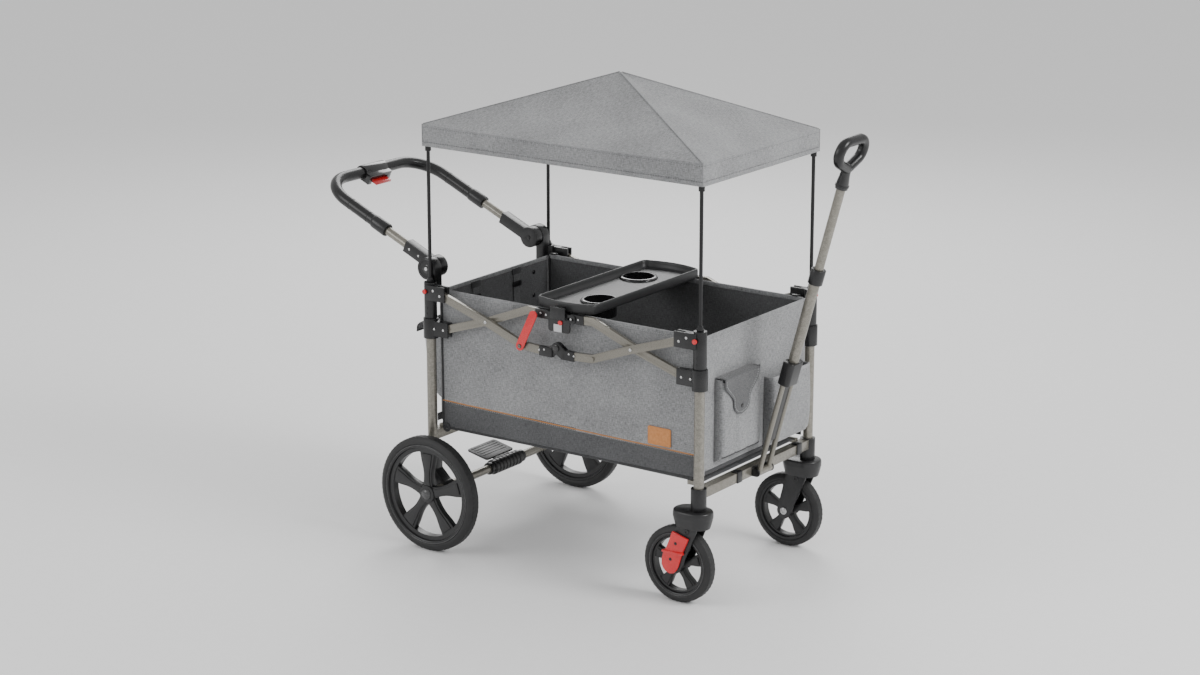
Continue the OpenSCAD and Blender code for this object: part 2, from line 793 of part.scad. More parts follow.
module pull_hinge_bracket() {
    x0 = post_x + beam / 2;
    ear_y = pull_fork_y + pull_fork_r + 2;
    color(black) {
        block(x0, x0 + 3, -ear_y - 5, ear_y + 5, beam_z, beam_top);
        pair_y() plate_y(ear_y + gap, ear_y + 5) {
            translate([pull_pivot_x, pull_pivot_z]) circle(10);
            translate([x0, pull_pivot_z - 10]) square([pull_pivot_x - x0, 20]);
        }
        rod_y(pull_pivot_x, pull_pivot_z, pull_pin_r, -ear_y - 1, ear_y + 1);
    }
}

module pull_tubes() {
    ear_y = pull_fork_y + pull_fork_r + 2;
    color(champagne) on_pull_handle() {
        difference() {
            union() {
                rod_y(0, 0, barrel_r, -ear_y, ear_y);
                pair_y() translate([0, pull_fork_y, 0]) cylinder(r = pull_fork_r, h = pull_fork_len - 20);
            }
            rod_y(0, 0, pull_pin_r + run, -post_y, post_y);
        }
        translate([0, 0, pull_fork_len - 45]) difference() {
            cylinder(r = pull_outer_r, h = outer_top - pull_fork_len + 45);
            translate([0, 0, 30]) cylinder(r = pull_tube_r + run, h = outer_top);
        }
    }
}

module pull_collars() {
    color(black) on_pull_handle() {
        difference() {
            translate([0, 0, pull_fork_len - 59]) linear_extrude(59) round_rect(32, 56, 12);
            pair_y() translate([0, pull_fork_y, 0]) cylinder(r = pull_fork_r + seat, h = pull_fork_len - 20 + seat);
            translate([0, 0, pull_fork_len - 45 - seat]) cylinder(r = pull_outer_r + seat, h = 60);
        }
        translate([0, 0, pull_collar_top - 37]) difference() {
            cylinder(r = pull_outer_r + 5, h = 37);
            translate([0, 0, -1]) cylinder(r = pull_tube_r + run, h = 39);
            translate([0, 0, -1]) cylinder(r = pull_outer_r + seat, h = 19 + seat);
        }
    }
}

module pull_inner_tube() {
    color(champagne) on_pull_handle() translate([0, 0, inner_foot]) difference() {
        cylinder(r = pull_tube_r, h = pull_neck + 10 - inner_foot);
        translate([0, 0, -1]) cylinder(r = pull_tube_r - tube_wall, h = pull_neck);
    }
}

// The grip loop's centre line runs from its foot straight to an arc on each side, and level
// between the arcs; both points are [Y, height above the neck]
loop_foot = [0, 46];
loop_corner = [26, 90];
loop_corner_r = 28;
loop_apart = loop_corner - loop_foot;
loop_turn = atan2(loop_apart[1], loop_apart[0]) - acos(-loop_corner_r / norm(loop_apart));
loop_steps = 12;

function loop_arc(d, i) = let (a = loop_turn + (90 - loop_turn) * i / loop_steps)
    loop_corner + (loop_corner_r + d) * [cos(a), sin(a)];
// The loop's outline at a distance d outside its centre line
function loop_line(d) = concat([[0, loop_foot[1] - d / cos(loop_turn + 90)]],
    [for (i = [0 : loop_steps]) loop_arc(d, i)],
    [for (i = [loop_steps : -1 : 0]) [-loop_arc(d, i)[0], loop_arc(d, i)[1]]]);

module pull_grip() {
    color(black) on_pull_handle() translate([0, 0, pull_neck]) {
        difference() {
            cylinder(r = pull_tube_r + 4, h = loop_foot[1] + 3);
            translate([0, 0, -1]) cylinder(r = pull_tube_r + seat, h = 11 + seat);
        }
        // the loop is drawn flat, with its height along Y, and stood up across the pole
        rotate([90, 0, 90]) translate([0, 0, -pull_grip_r]) linear_extrude(2 * pull_grip_r) difference() {
            polygon(loop_line(pull_grip_r));
            polygon(loop_line(-pull_grip_r));
        }
    }
}

// ---------- basket ----------
panel_half = wall_y - fabric_t - 1;
panel_t = 4;
panel_z = beam_top + 24;
// The tabs that lace the end panels to the posts stay below the collars' lowest place
tab_h = 22;
front_panel_x = post_x - 5;
rear_panel_x = -post_x + post_r - 0.5;
rear_tab_y = post_y - sqrt(post_r - 0.25) - 2 * seat;

module side_panels() {
    color(grey) pair_y()
        block(rear_panel_x + panel_t + 3, wall_x, wall_y - fabric_t, wall_y, basket_z, basket_top_z);
}

module bag_floor() {
    color(slate) block(-post_x + beam / 2 + 4, post_x - beam / 2 - 4, gap - bar_in_y0,
        bar_in_y0 - gap, basket_z - 3, basket_z - 1);
}

module front_panel() {
    color(grey) {
        block(front_panel_x, front_panel_x + panel_t, -panel_half, panel_half, panel_z, basket_top_z);
        pair_y() block(front_panel_x, front_panel_x + panel_t, panel_half - eps, post_y - post_r,
            panel_z, panel_z + tab_h);
    }
}

module rear_panel() {
    color(grey) {
        block(rear_panel_x, rear_panel_x + panel_t, -panel_half, panel_half, panel_z, basket_top_z - 3);
        pair_y() block(rear_panel_x, rear_panel_x + panel_t, panel_half - eps, rear_tab_y,
            panel_z, panel_z + tab_h);
    }
}

// Open pocket: an upright box with walls of fabric_t
module pocket(y0, y1, z0, z1, depth) {
    x0 = front_panel_x + panel_t;
    difference() {
        block(x0, x0 + depth, y0, y1, z0, z1);
        block(x0 + fabric_t, x0 + depth - fabric_t, y0 + fabric_t, y1 - fabric_t, z0 + fabric_t, z1 + 1);
    }
}

// Near pocket, under the flap
pocket_depth = 26;
pocket_y0 = -180;
pocket_y1 = -14;
pocket_foot = 340;
pocket_top = 545;
// Far pocket, open
far_pocket_depth = 34;
far_pocket_y0 = 37;
far_pocket_y1 = 210;
far_pocket_foot = 320;
far_pocket_top = 500;
module front_pockets() {
    color(grey) {
        pocket(pocket_y0, pocket_y1, pocket_foot, pocket_top, pocket_depth);
        pocket(far_pocket_y0, far_pocket_y1, far_pocket_foot, far_pocket_top, far_pocket_depth);
    }
}

flap_x = front_panel_x + panel_t + pocket_depth;
flap_hinge_z = pocket_top + gap + 1.5;
// The flap stops short of the pull handle's fork, so that it can open
flap_y1 = -pull_fork_y - 11;
flap_inset = 42;
module pocket_flap() {
    color(grey) {
        block(front_panel_x + panel_t + gap, flap_x + gap, pocket_y0, flap_y1, pocket_top + gap, pocket_top + 3);
        block(flap_x + gap, flap_x + 3, pocket_y0, flap_y1, pocket_top - 50, pocket_top + 3);
        block(flap_x + gap, flap_x + 3, pocket_y0 + flap_inset, flap_y1 - flap_inset, pocket_top - 100,
            pocket_top - 49);
    }
}

// Rear storage bag: an open pouch with a curved back and a folding lid
storage_half = 176;
storage_z = 349;
// Depth and height of the bag's corners, from the panel and the bag's foot
storage_back = [[0, 0], [48, 3], [76, 26], [96, 80]];
storage_depth = 107;
lid_t = 4;
lid_hinge = [rear_panel_x - 4, storage_z + 236];
lid_edge = [rear_panel_x - 112, storage_z + 186];
lid_slope = (lid_hinge[1] - lid_edge[1]) / (lid_hinge[0] - lid_edge[0]);

// Height of the bag's side under the closed lid
function lid_under(x) = lid_hinge[1] + (x - lid_hinge[0]) * lid_slope - lid_t / 2 * norm([1, lid_slope]) - gap;

// Side of the bag, or of the space inside it when drawn in by inset and carried up by over
module storage_outline(inset, over) {
    x_panel = rear_panel_x - inset;
    x_back = rear_panel_x - storage_depth + inset;
    polygon(concat([[x_panel, lid_under(x_panel) + over], [x_panel, storage_z + inset]],
        [for (i = [1 : 3]) [rear_panel_x - storage_back[i][0] + inset, storage_z + storage_back[i][1] + inset]],
        [[x_back, lid_under(x_back) + over]]));
}

module storage_bag() {
    color(grey) difference() {
        plate_y(-storage_half, storage_half) storage_outline(0, 0);
        plate_y(-storage_half + fabric_t, storage_half - fabric_t) storage_outline(fabric_t, 10);
    }
}

module storage_lid() {
    color(grey) plate_y(-storage_half, storage_half)
        strip([lid_hinge, lid_edge, lid_edge - [2, 16]], lid_t);
}

// Folding floor: a board on two bars for each half, hinged at the middle. The boards end short
// of the pivots, and the rear one lies between the brackets, so that they can tip up
board_end = floor_pivot_x - 2;
module floor_half(y0, y1) {
    difference() {
        union() {
            plate_y(y0, y1) strip([[-floor_pivot_x, floor_pivot_z], [0, floor_pivot_z]], floor_bar_h);
            block(-floor_pivot_x, -pin_r - 9, y0, y1, floor_pivot_z, floor_pivot_z + floor_bar_h / 2 + 1.5);
        }
        children();
    }
}

board_z = floor_pivot_z + floor_bar_h / 2 + 1;
module rear_floor_board() {
    color(slate) {
        pair_y() floor_half(bar_in_y0, bar_in_y1) {
            rod_y(-floor_pivot_x, floor_pivot_z, pin_r + run, 0, post_y);
            rod_y(0, floor_pivot_z, pin_r + run, 0, post_y);
        }
        block(-board_end, -gap, -bar_in_y1, bar_in_y1, board_z, board_z + board_t);
    }
}

module front_floor_board() {
    color(slate) {
        pair_y() mirror([1, 0, 0]) floor_half(bar_out_y0, bar_out_y1) { }
        pair_y() rod_y(0, floor_pivot_z, pin_r, bar_in_y0, bar_out_y0 + eps);
        block(gap, board_end, -bar_out_y1, bar_out_y1, board_z, board_z + board_t);
    }
}

// ---------- tray ----------
tray_z = top_pin_z + bar_end_h / 2 + tray_lift;
tray_half_y = post_y - tray_short;
tray_corner_y = tray_half_y - 11;
tray_wall = 4;
tray_plate = 5;
cup_x = 28;
cup_y = 122;
bulge = tray_half_y - tray_corner_y;
bulge_r = (pow(tray_x / 2, 2) + pow(bulge, 2)) / (2 * bulge);

// Tray outline with arched ends, drawn in by inset
module tray_outline(inset) {
    intersection() {
        round_rect(tray_x - 2 * inset, 2 * (tray_half_y - inset) + 20, 14);
        translate([0, tray_half_y - bulge_r]) circle(bulge_r - inset, $fn = 180);
        translate([0, bulge_r - tray_half_y]) circle(bulge_r - inset, $fn = 180);
    }
}

module tray() {
    color(dark) {
        difference() {
            translate([0, 0, tray_z]) linear_extrude(tray_h) tray_outline(0);
            translate([0, 0, tray_z + tray_plate]) linear_extrude(tray_h) tray_outline(tray_wall);
            for (s = [-1, 1]) translate([-s * cup_x, s * cup_y, tray_z - 1]) cylinder(r = cup_r + 2, h = tray_h);
        }
        for (s = [-1, 1]) translate([-s * cup_x, s * cup_y, tray_z + tray_plate - cup_depth]) difference() {
            union() {
                cylinder(r = cup_r + 2 + eps, h = cup_depth);
                translate([0, 0, cup_depth - eps]) cylinder(r = cup_r + 10, h = 6);
            }
            translate([0, 0, 2]) cylinder(r = cup_r, h = cup_depth + 6);
        }
    }
}

clip_y = plate_out1 + 4;
clip_foot_z = top_pin_z - 4;
clip_top_z = tray_z + 14;
module tray_clips() {
    color(black) pair_y() {
        block(-20, 24, clip_y, clip_y + 3, clip_foot_z, clip_top_z);
        block(-12, 12, tray_half_y - 1, clip_y + eps, clip_top_z - 5, clip_top_z);
    }
}

// ---------- canopy ----------
canopy_x = post_x + canopy_over_x;
canopy_y = post_y + canopy_over_y;
eave_z = canopy_z + valance_h;
cloth_t = 3;
pole_foot_z = post_top_z - 80;
pole_top_z = eave_z - 16;

// Valance and pyramid roof as one closed shape, drawn in by inset
module canopy_shape(inset, z0) {
    hx = canopy_x - inset;
    hy = canopy_y - inset;
    rise = canopy_rise * (1 - inset / canopy_y);
    translate([0, 0, z0]) linear_extrude(eave_z - z0 + eps) square([2 * hx, 2 * hy], center = true);
    polyhedron(points = [[-hx, -hy, eave_z], [hx, -hy, eave_z], [hx, hy, eave_z], [-hx, hy, eave_z],
            [0, 0, eave_z + rise]],
        faces = [[0, 1, 2, 3], [1, 0, 4], [2, 1, 4], [3, 2, 4], [0, 3, 4]]);
}

module canopy_top() {
    color(grey) difference() {
        canopy_shape(0, canopy_z);
        canopy_shape(cloth_t, canopy_z - 1);
    }
}

rib_r = 3;
rib_drop = 14;
hub_z = eave_z + canopy_rise - 34;
module canopy_ribs() {
    corner = [post_x, post_y, pole_top_z + 4];
    peak = [0, 0, hub_z];
    v = peak - corner;
    color(black) {
        for (sx = [0, 1], sy = [0, 1]) mirror([sx, 0, 0]) mirror([0, sy, 0]) {
            translate(corner) rotate([0, acos(v[2] / norm(v)), atan2(v[1], v[0])]) cylinder(r = rib_r, h = norm(v));
            difference() {
                translate([post_x, post_y, pole_top_z - 14]) cylinder(r = pole_r + 3, h = 22);
                translate([post_x, post_y, pole_top_z - 15]) cylinder(r = pole_r + gap, h = 15 + gap);
            }
        }
        translate([0, 0, hub_z - 8]) cylinder(r = 16, h = 14);
    }
}

module poles(x) {
    color(black) pair_y() translate([x, post_y, 0]) {
        translate([0, 0, pole_foot_z]) cylinder(r = pole_r, h = pole_top_z - pole_foot_z);
        translate([0, 0, canopy_z - 12]) cylinder(r = pole_r + 3, h = 10);
    }
}

module rear_poles() { poles(-post_x); }
module front_poles() { poles(post_x); }

rear_posts();
rear_corner_joints();
rear_beam();
axle_brackets();
rear_axle();
handle_hinge_housings();
rear_panel();
storage_bag();
storage_lid();
side_panels();
bag_floor();
brake_pedal();
rear_rim_near();
rear_tyre_near();
rear_rim_far();
rear_tyre_far();
handle_paddles();
handle_tubes();
handle_bow();
handle_housing();
handle_lever();
rear_outer_bars();
rear_knuckles();
front_outer_bars();
front_knuckles();
rear_inner_bars();
rear_bar_ends();
front_inner_bars();
front_bar_ends();
rear_sliders();
front_sliders();
top_brackets();
lock_link();
tray();
tray_clips();
front_posts();
front_corner_joints();
front_beam();
pull_hinge_bracket();
front_panel();
front_pockets();
pocket_flap();
canopy_top();
canopy_ribs();
rear_poles();
front_poles();
rear_floor_board();
front_floor_board();
castor_fork_near();
castor_fork_far();
castor_lock_near();
castor_lock_far();
front_rim_near();
front_tyre_near();
front_rim_far();
front_tyre_far();
pull_tubes();
pull_collars();
pull_inner_tube();
pull_grip();
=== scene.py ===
# %% [markdown]
# # A folding pull wagon for children
# The wagon is a tube frame that folds like scissors, with a cloth basket, a cloth canopy,
# two handles, a tray, two large wheels and two castors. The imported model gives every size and
# every joint. This lesson dresses it: cloth is built as cloth, mouldings get rounded edges,
# and each finish is a small network of shader nodes.

# %% Load the frame
import math
import bmesh
import bpy
from mathutils import Matrix, Vector, noise


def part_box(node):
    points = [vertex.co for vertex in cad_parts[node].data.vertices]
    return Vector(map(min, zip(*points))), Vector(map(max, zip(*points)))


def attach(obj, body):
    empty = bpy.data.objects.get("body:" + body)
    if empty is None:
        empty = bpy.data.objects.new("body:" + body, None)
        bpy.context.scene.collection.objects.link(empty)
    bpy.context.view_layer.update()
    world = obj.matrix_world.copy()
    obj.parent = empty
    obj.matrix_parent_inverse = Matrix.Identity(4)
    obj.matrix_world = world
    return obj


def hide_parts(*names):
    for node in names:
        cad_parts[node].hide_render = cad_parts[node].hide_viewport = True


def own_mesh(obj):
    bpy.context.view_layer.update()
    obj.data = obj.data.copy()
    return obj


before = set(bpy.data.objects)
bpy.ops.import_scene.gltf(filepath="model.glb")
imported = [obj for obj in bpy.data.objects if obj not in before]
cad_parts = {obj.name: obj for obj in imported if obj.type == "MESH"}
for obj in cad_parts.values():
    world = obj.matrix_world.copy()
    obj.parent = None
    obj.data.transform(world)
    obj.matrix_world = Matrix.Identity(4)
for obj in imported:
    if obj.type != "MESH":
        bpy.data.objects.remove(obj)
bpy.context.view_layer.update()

# %% [markdown]
# ## The camera
# The wagon is seen from its front right, a little from above, through a long lens.

# %% Camera
turn = math.radians(35.636)
tip = math.radians(15.344)
LENS_LENGTH = 2702.7 / 1200  # in frame widths
SENSOR_WIDTH = 36
back = Vector((math.sin(turn) * math.cos(tip), -math.cos(turn) * math.cos(tip), math.sin(tip)))
eye = bpy.data.cameras.new("studio_camera")
eye.sensor_width = SENSOR_WIDTH
eye.lens = LENS_LENGTH * SENSOR_WIDTH
eye.clip_end = 100
camera = bpy.data.objects.new("studio_camera", eye)
camera.location = (3.7405, -5.3012, 2.3225)
camera.rotation_euler = back.to_track_quat("Z", "Y").to_euler()
bpy.context.scene.collection.objects.link(camera)
bpy.context.scene.camera = camera
print("lens", round(eye.lens, 2), "mm")

# %% [markdown]
# ## Light and floor
# Product pictures are lit by a large pale room. A bright world gives the even base, and three
# broad lamps give the tubes their long soft highlights.

# %% Light and floor
world = bpy.data.worlds.new("white_room")
bpy.context.scene.world = world
world.use_nodes = True
world.node_tree.nodes["Background"].inputs["Color"].default_value = (1, 1, 1, 1)
world.node_tree.nodes["Background"].inputs["Strength"].default_value = 0.80


def soft_lamp(name, place, aim, size, power):
    lamp = bpy.data.lights.new(name, "AREA")
    lamp.shape = "DISK"
    lamp.size = size
    lamp.energy = power
    holder = bpy.data.objects.new(name, lamp)
    holder.location = place
    holder.rotation_euler = (Vector(place) - Vector(aim)).to_track_quat("Z", "Y").to_euler()
    bpy.context.scene.collection.objects.link(holder)


middle = (0, 0, 0.6)
soft_lamp("key", (4.2, 0.4, 3.4), middle, 2.0, 150)
soft_lamp("fill", (-2.6, -4.0, 2.6), middle, 2.6, 55)
soft_lamp("rim_light", (-2.2, 3.2, 3.0), middle, 2.4, 70)

# %% [markdown]
# ## Finishes
# Each effect that several finishes share is a node group with named inputs: a mottle that
# varies a colour, a wear mask for edges, and a weave. The shader stays in the material.

# %% Node helpers
def new_group(name, inputs, outputs):
    tree = bpy.data.node_groups.new(name, "ShaderNodeTree")
    for label, kind, value in inputs:
        socket = tree.interface.new_socket(label, in_out="INPUT", socket_type=kind)
        if value is not None:
            socket.default_value = value
    for label, kind in outputs:
        tree.interface.new_socket(label, in_out="OUTPUT", socket_type=kind)
    return tree, tree.nodes.new("NodeGroupInput"), tree.nodes.new("NodeGroupOutput")


def node(tree, kind, settings=None, **wires):
    """A node whose inputs are set to values or wired to other sockets."""
    made = tree.nodes.new(kind)
    for key, value in (settings or {}).items():
        setattr(made, key, value)
    for key, value in wires.items():
        key = key.replace("_", " ")
        socket = made.inputs[int(key[1:])] if key[0] == "i" and key[1:].isdigit() else made.inputs[key]
        if isinstance(value, bpy.types.NodeSocket):
            tree.links.new(value, socket)
        else:
            socket.default_value = value
    return made


def maths(tree, operation, a, b=0.0, clamp=False):
    return node(tree, "ShaderNodeMath", {"operation": operation, "use_clamp": clamp}, i0=a, i1=b).outputs[0]


def ramp(tree, value, low, high, to_low=0.0, to_high=1.0):
    return node(tree, "ShaderNodeMapRange", {"clamp": True}, Value=value, From_Min=low, From_Max=high,
                To_Min=to_low, To_Max=to_high).outputs[0]


def blend_colour(tree, mask, a, b):
    made = node(tree, "ShaderNodeMix", {"data_type": "RGBA"}, i0=mask, i6=a, i7=b)
    return made.outputs[2]


# %% Shared effects
mottle, m_in, m_out = new_group("mottle", [("Vector", "NodeSocketVector", None),
                                           ("Size", "NodeSocketFloat", 40.0),
                                           ("Colour A", "NodeSocketColor", None),
                                           ("Colour B", "NodeSocketColor", None)],
                                           [("Colour", "NodeSocketColor"), ("Fine", "NodeSocketFloat")])
m_cloud = node(mottle, "ShaderNodeTexNoise", None, Vector=m_in.outputs["Vector"], Scale=m_in.outputs["Size"],
               Detail=4.0)
m_fine = node(mottle, "ShaderNodeTexNoise", None, Vector=m_in.outputs["Vector"], Scale=900.0, Detail=3.0)
m_mask = ramp(mottle, m_cloud.outputs[0], 0.35, 0.65)
m_mixed = blend_colour(mottle, m_mask, m_in.outputs["Colour A"], m_in.outputs["Colour B"])
mottle.links.new(m_mixed, m_out.inputs["Colour"])
mottle.links.new(m_fine.outputs[0], m_out.inputs["Fine"])

wear, w_in, w_out = new_group("edge_wear", [("Vector", "NodeSocketVector", None),
                                            ("Amount", "NodeSocketFloat", 0.5)],
                                            [("Mask", "NodeSocketFloat")])
w_geo = node(wear, "ShaderNodeNewGeometry")
w_edge = ramp(wear, w_geo.outputs["Pointiness"], 0.52, 0.62)
w_noise = node(wear, "ShaderNodeTexNoise", None, Vector=w_in.outputs["Vector"], Scale=120.0, Detail=5.0)
w_rough = ramp(wear, w_noise.outputs[0], 0.42, 0.62)
w_both = maths(wear, "MULTIPLY", maths(wear, "MULTIPLY", w_edge, w_rough), w_in.outputs["Amount"], True)
wear.links.new(w_both, w_out.inputs["Mask"])

# The heathered look comes from slubs: long flecks of light and dark yarn, a few millimetres wide,
# running along both thread directions.
weave, v_in, v_out = new_group("weave", [("Vector", "NodeSocketVector", None),
                                         ("Threads per metre", "NodeSocketFloat", 900.0)],
                                         [("Height", "NodeSocketFloat"), ("Fleck", "NodeSocketFloat")])
v_sep = node(weave, "ShaderNodeSeparateXYZ", None, Vector=v_in.outputs["Vector"])
v_turns = maths(weave, "MULTIPLY", v_in.outputs["Threads per metre"], math.pi)
v_warp = maths(weave, "SINE", maths(weave, "MULTIPLY", v_sep.outputs[0], v_turns))
v_weft = maths(weave, "SINE", maths(weave, "MULTIPLY", v_sep.outputs[1], v_turns))
v_over = maths(weave, "MULTIPLY", v_warp, v_weft)
v_height = maths(weave, "ADD", maths(weave, "ABSOLUTE", v_over), maths(weave, "MULTIPLY", v_over, 0.5))
weave.links.new(v_height, v_out.inputs["Height"])
fleck_parts = []
for along in ((0.14, 1.0, 1.0), (1.0, 0.14, 1.0)):
    v_map = node(weave, "ShaderNodeMapping", None, Vector=v_in.outputs["Vector"], Scale=along)
    v_slub = node(weave, "ShaderNodeTexNoise", None, Vector=v_map.outputs[0], Scale=620.0, Detail=2.5,
                  Roughness=0.7)
    fleck_parts.append(v_slub.outputs[0])
v_sum = maths(weave, "MULTIPLY", maths(weave, "ADD", fleck_parts[0], fleck_parts[1]), 0.5)
weave.links.new(ramp(weave, v_sum, 0.40, 0.60), v_out.inputs["Fleck"])
print("groups", [g.name for g in bpy.data.node_groups])


# %% [markdown]
# Two makers cover nearly all of the wagon: a hard finish for paint, plastic, rubber and metal,
# and a cloth finish for yarn. Both keep their shader in the material and wire the shared groups
# into it.

# %% Material makers
def start_material(name):
    made = bpy.data.materials.new(name)
    made.use_nodes = True
    tree = made.node_tree
    return made, tree, tree.nodes["Principled BSDF"]


def use_group(tree, group, **wires):
    made = tree.nodes.new("ShaderNodeGroup")
    made.node_tree = group
    for key, value in wires.items():
        socket = made.inputs[key.replace("_", " ")]
        if isinstance(value, bpy.types.NodeSocket):
            tree.links.new(value, socket)
        else:
            socket.default_value = value
    return made


def rgb(r, g, b):
    return (r, g, b, 1.0)


def hard_finish(name, colour, other, rough, metal=0.0, bump=0.05, worn=0.4, worn_colour=None, coat=0.0,
                grain=40.0):
    """Paint or moulded plastic: mottled colour, fine grain, rubbed edges."""
    made, tree, shader = start_material(name)
    place = node(tree, "ShaderNodeTexCoord").outputs["Object"]
    tone = use_group(tree, mottle, Vector=place, Size=grain, Colour_A=colour, Colour_B=other)
    rubbed = use_group(tree, wear, Vector=place, Amount=worn)
    paint = blend_colour(tree, rubbed.outputs["Mask"], tone.outputs["Colour"], worn_colour or other)
    tree.links.new(paint, shader.inputs["Base Color"])
    tree.links.new(ramp(tree, tone.outputs["Fine"], 0.3, 0.7, rough - 0.06, rough + 0.07),
                   shader.inputs["Roughness"])
    lump = node(tree, "ShaderNodeBump", None, Height=tone.outputs["Fine"], Strength=bump, Distance=0.0004)
    tree.links.new(lump.outputs[0], shader.inputs["Normal"])
    shader.inputs["Metallic"].default_value = metal
    shader.inputs["Coat Weight"].default_value = coat
    return made


def cloth_finish(name, dark, light, threads=900.0, rough=0.9, bump=0.5, sheen=0.25):
    """Woven yarn in two tones, read from the piece's own cloth map in metres."""
    made, tree, shader = start_material(name)
    place = node(tree, "ShaderNodeUVMap", {"uv_map": "cloth"}).outputs[0]
    yarn = use_group(tree, weave, Vector=place, Threads_per_metre=threads)
    solid = node(tree, "ShaderNodeTexCoord").outputs["Object"]
    tone = use_group(tree, mottle, Vector=solid, Size=9.0, Colour_A=dark, Colour_B=light)
    mixed = blend_colour(tree, yarn.outputs["Fleck"], dark, light)
    soft = blend_colour(tree, 0.22, mixed, tone.outputs["Colour"])
    tree.links.new(soft, shader.inputs["Base Color"])
    tree.links.new(ramp(tree, yarn.outputs["Fleck"], 0.0, 1.0, rough, rough - 0.12),
                   shader.inputs["Roughness"])
    lump = node(tree, "ShaderNodeBump", None, Height=yarn.outputs["Height"], Strength=bump, Distance=0.0005)
    tree.links.new(lump.outputs[0], shader.inputs["Normal"])
    shader.inputs["Sheen Weight"].default_value = sheen
    shader.inputs["Sheen Roughness"].default_value = 0.5
    return made


# %% Hard finishes
champagne = hard_finish("champagne_paint", rgb(0.205, 0.193, 0.165), rgb(0.222, 0.21, 0.18), 0.30, 0.55,
                        0.03, 0.25, rgb(0.42, 0.40, 0.36), 0.2, 9.0)
black_plastic = hard_finish("black_moulding", rgb(0.0075, 0.0075, 0.008), rgb(0.010, 0.010, 0.011), 0.30,
                            0.0, 0.10, 0.3, rgb(0.035, 0.035, 0.036))
gloss_black = hard_finish("gloss_black", rgb(0.006, 0.006, 0.0065), rgb(0.008, 0.008, 0.0085), 0.16, 0.0,
                          0.03, 0.2, rgb(0.03, 0.03, 0.03), 0.4)
tray_plastic = hard_finish("tray_moulding", rgb(0.020, 0.0205, 0.021), rgb(0.024, 0.0245, 0.0255), 0.42, 0.0,
                           0.25, 0.2, rgb(0.05, 0.05, 0.052))
foam_skin = hard_finish("foam_skin", rgb(0.006, 0.006, 0.0065), rgb(0.008, 0.008, 0.0085), 0.30, 0.0, 0.1,
                        0.2, rgb(0.03, 0.03, 0.03))
rubber = hard_finish("tyre_rubber", rgb(0.010, 0.010, 0.0105), rgb(0.014, 0.014, 0.0145), 0.55, 0.0, 0.3,
                     0.4, rgb(0.03, 0.03, 0.029))
rim_plastic = hard_finish("rim_moulding", rgb(0.010, 0.010, 0.0105), rgb(0.013, 0.013, 0.014), 0.33, 0.0,
                          0.06, 0.25, rgb(0.04, 0.04, 0.041))
# Lighter grey than the rim moulding: a painted highlight for the glossy edge ridge and the hub cap.
painted_highlight_plastic = hard_finish("ridge_moulding_painted_highlight", rgb(0.045, 0.045, 0.046), rgb(0.06, 0.06, 0.062), 0.22, 0.0,
                            0.03, 0.3, rgb(0.12, 0.12, 0.12), 0.3)
fork_paint = hard_finish("fork_paint", rgb(0.012, 0.012, 0.0128), rgb(0.016, 0.016, 0.017), 0.32, 0.0, 0.08,
                         0.3, rgb(0.05, 0.05, 0.05))
pedal_paint = hard_finish("pedal_paint", rgb(0.035, 0.035, 0.036), rgb(0.045, 0.045, 0.046), 0.4, 0.2, 0.1,
                          0.5, rgb(0.12, 0.12, 0.12))
red_plastic = hard_finish("red_moulding", rgb(0.62, 0.012, 0.018), rgb(0.68, 0.018, 0.022), 0.28, 0.0, 0.04,
                          0.3, rgb(0.72, 0.10, 0.09), 0.3)
steel = hard_finish("bright_steel", rgb(0.62, 0.62, 0.62), rgb(0.5, 0.5, 0.5), 0.25, 1.0, 0.05, 0.2,
                    rgb(0.8, 0.8, 0.8))
pale_tab = hard_finish("pale_tab", rgb(0.5, 0.5, 0.51), rgb(0.56, 0.56, 0.57), 0.5)
rib_rod = hard_finish("rib_rod", rgb(0.1, 0.1, 0.105), rgb(0.14, 0.14, 0.145), 0.35)
pole_paint = hard_finish("pole_paint", rgb(0.008, 0.008, 0.0085), rgb(0.011, 0.011, 0.012), 0.35, 0.2)

# %% Cloth, leather and floor finishes
grey_cloth = cloth_finish("grey_melange", rgb(0.125, 0.127, 0.131), rgb(0.37, 0.374, 0.38))
canopy_cloth = cloth_finish("canopy_melange", rgb(0.14, 0.142, 0.146), rgb(0.36, 0.364, 0.37))
# The inner finish is darker than the outer: partly a charcoal lining, partly painted shade inside the
# basket, pockets and bag.
inner_cloth = cloth_finish("charcoal_lining_and_painted_shade", rgb(0.052, 0.053, 0.055), rgb(0.13, 0.132, 0.136))
slate_cloth = cloth_finish("slate_band", rgb(0.040, 0.041, 0.044), rgb(0.11, 0.112, 0.117))
binding_cloth = cloth_finish("dark_binding", rgb(0.014, 0.0145, 0.0155), rgb(0.04, 0.041, 0.044), 700.0)
edge_cloth = cloth_finish("light_binding", rgb(0.20, 0.202, 0.206), rgb(0.42, 0.424, 0.43), 700.0)
webbing = cloth_finish("grey_webbing", rgb(0.05, 0.051, 0.053), rgb(0.15, 0.152, 0.156), 500.0)
tan_piping = cloth_finish("tan_piping", rgb(0.42, 0.17, 0.05), rgb(0.56, 0.26, 0.09), 700.0)
thread = cloth_finish("pale_thread", rgb(0.42, 0.425, 0.43), rgb(0.55, 0.555, 0.56), 1200.0)
leather = hard_finish("tan_leather", rgb(0.50, 0.19, 0.05), rgb(0.58, 0.24, 0.075), 0.5, 0.0, 0.6, 0.5,
                      rgb(0.62, 0.32, 0.13), 0.0, 160.0)
brown_leather = hard_finish("brown_leather", rgb(0.15, 0.04, 0.022), rgb(0.20, 0.06, 0.032), 0.5, 0.0, 0.6,
                            0.5, rgb(0.3, 0.12, 0.07), 0.0, 160.0)
pale_band = cloth_finish("pale_band", rgb(0.50, 0.505, 0.51), rgb(0.74, 0.745, 0.75))
floor_paint = hard_finish("studio_floor", rgb(0.93, 0.93, 0.93), rgb(0.94, 0.94, 0.94), 0.7, 0.0, 0.02, 0.0)
print(len(bpy.data.materials), "materials")

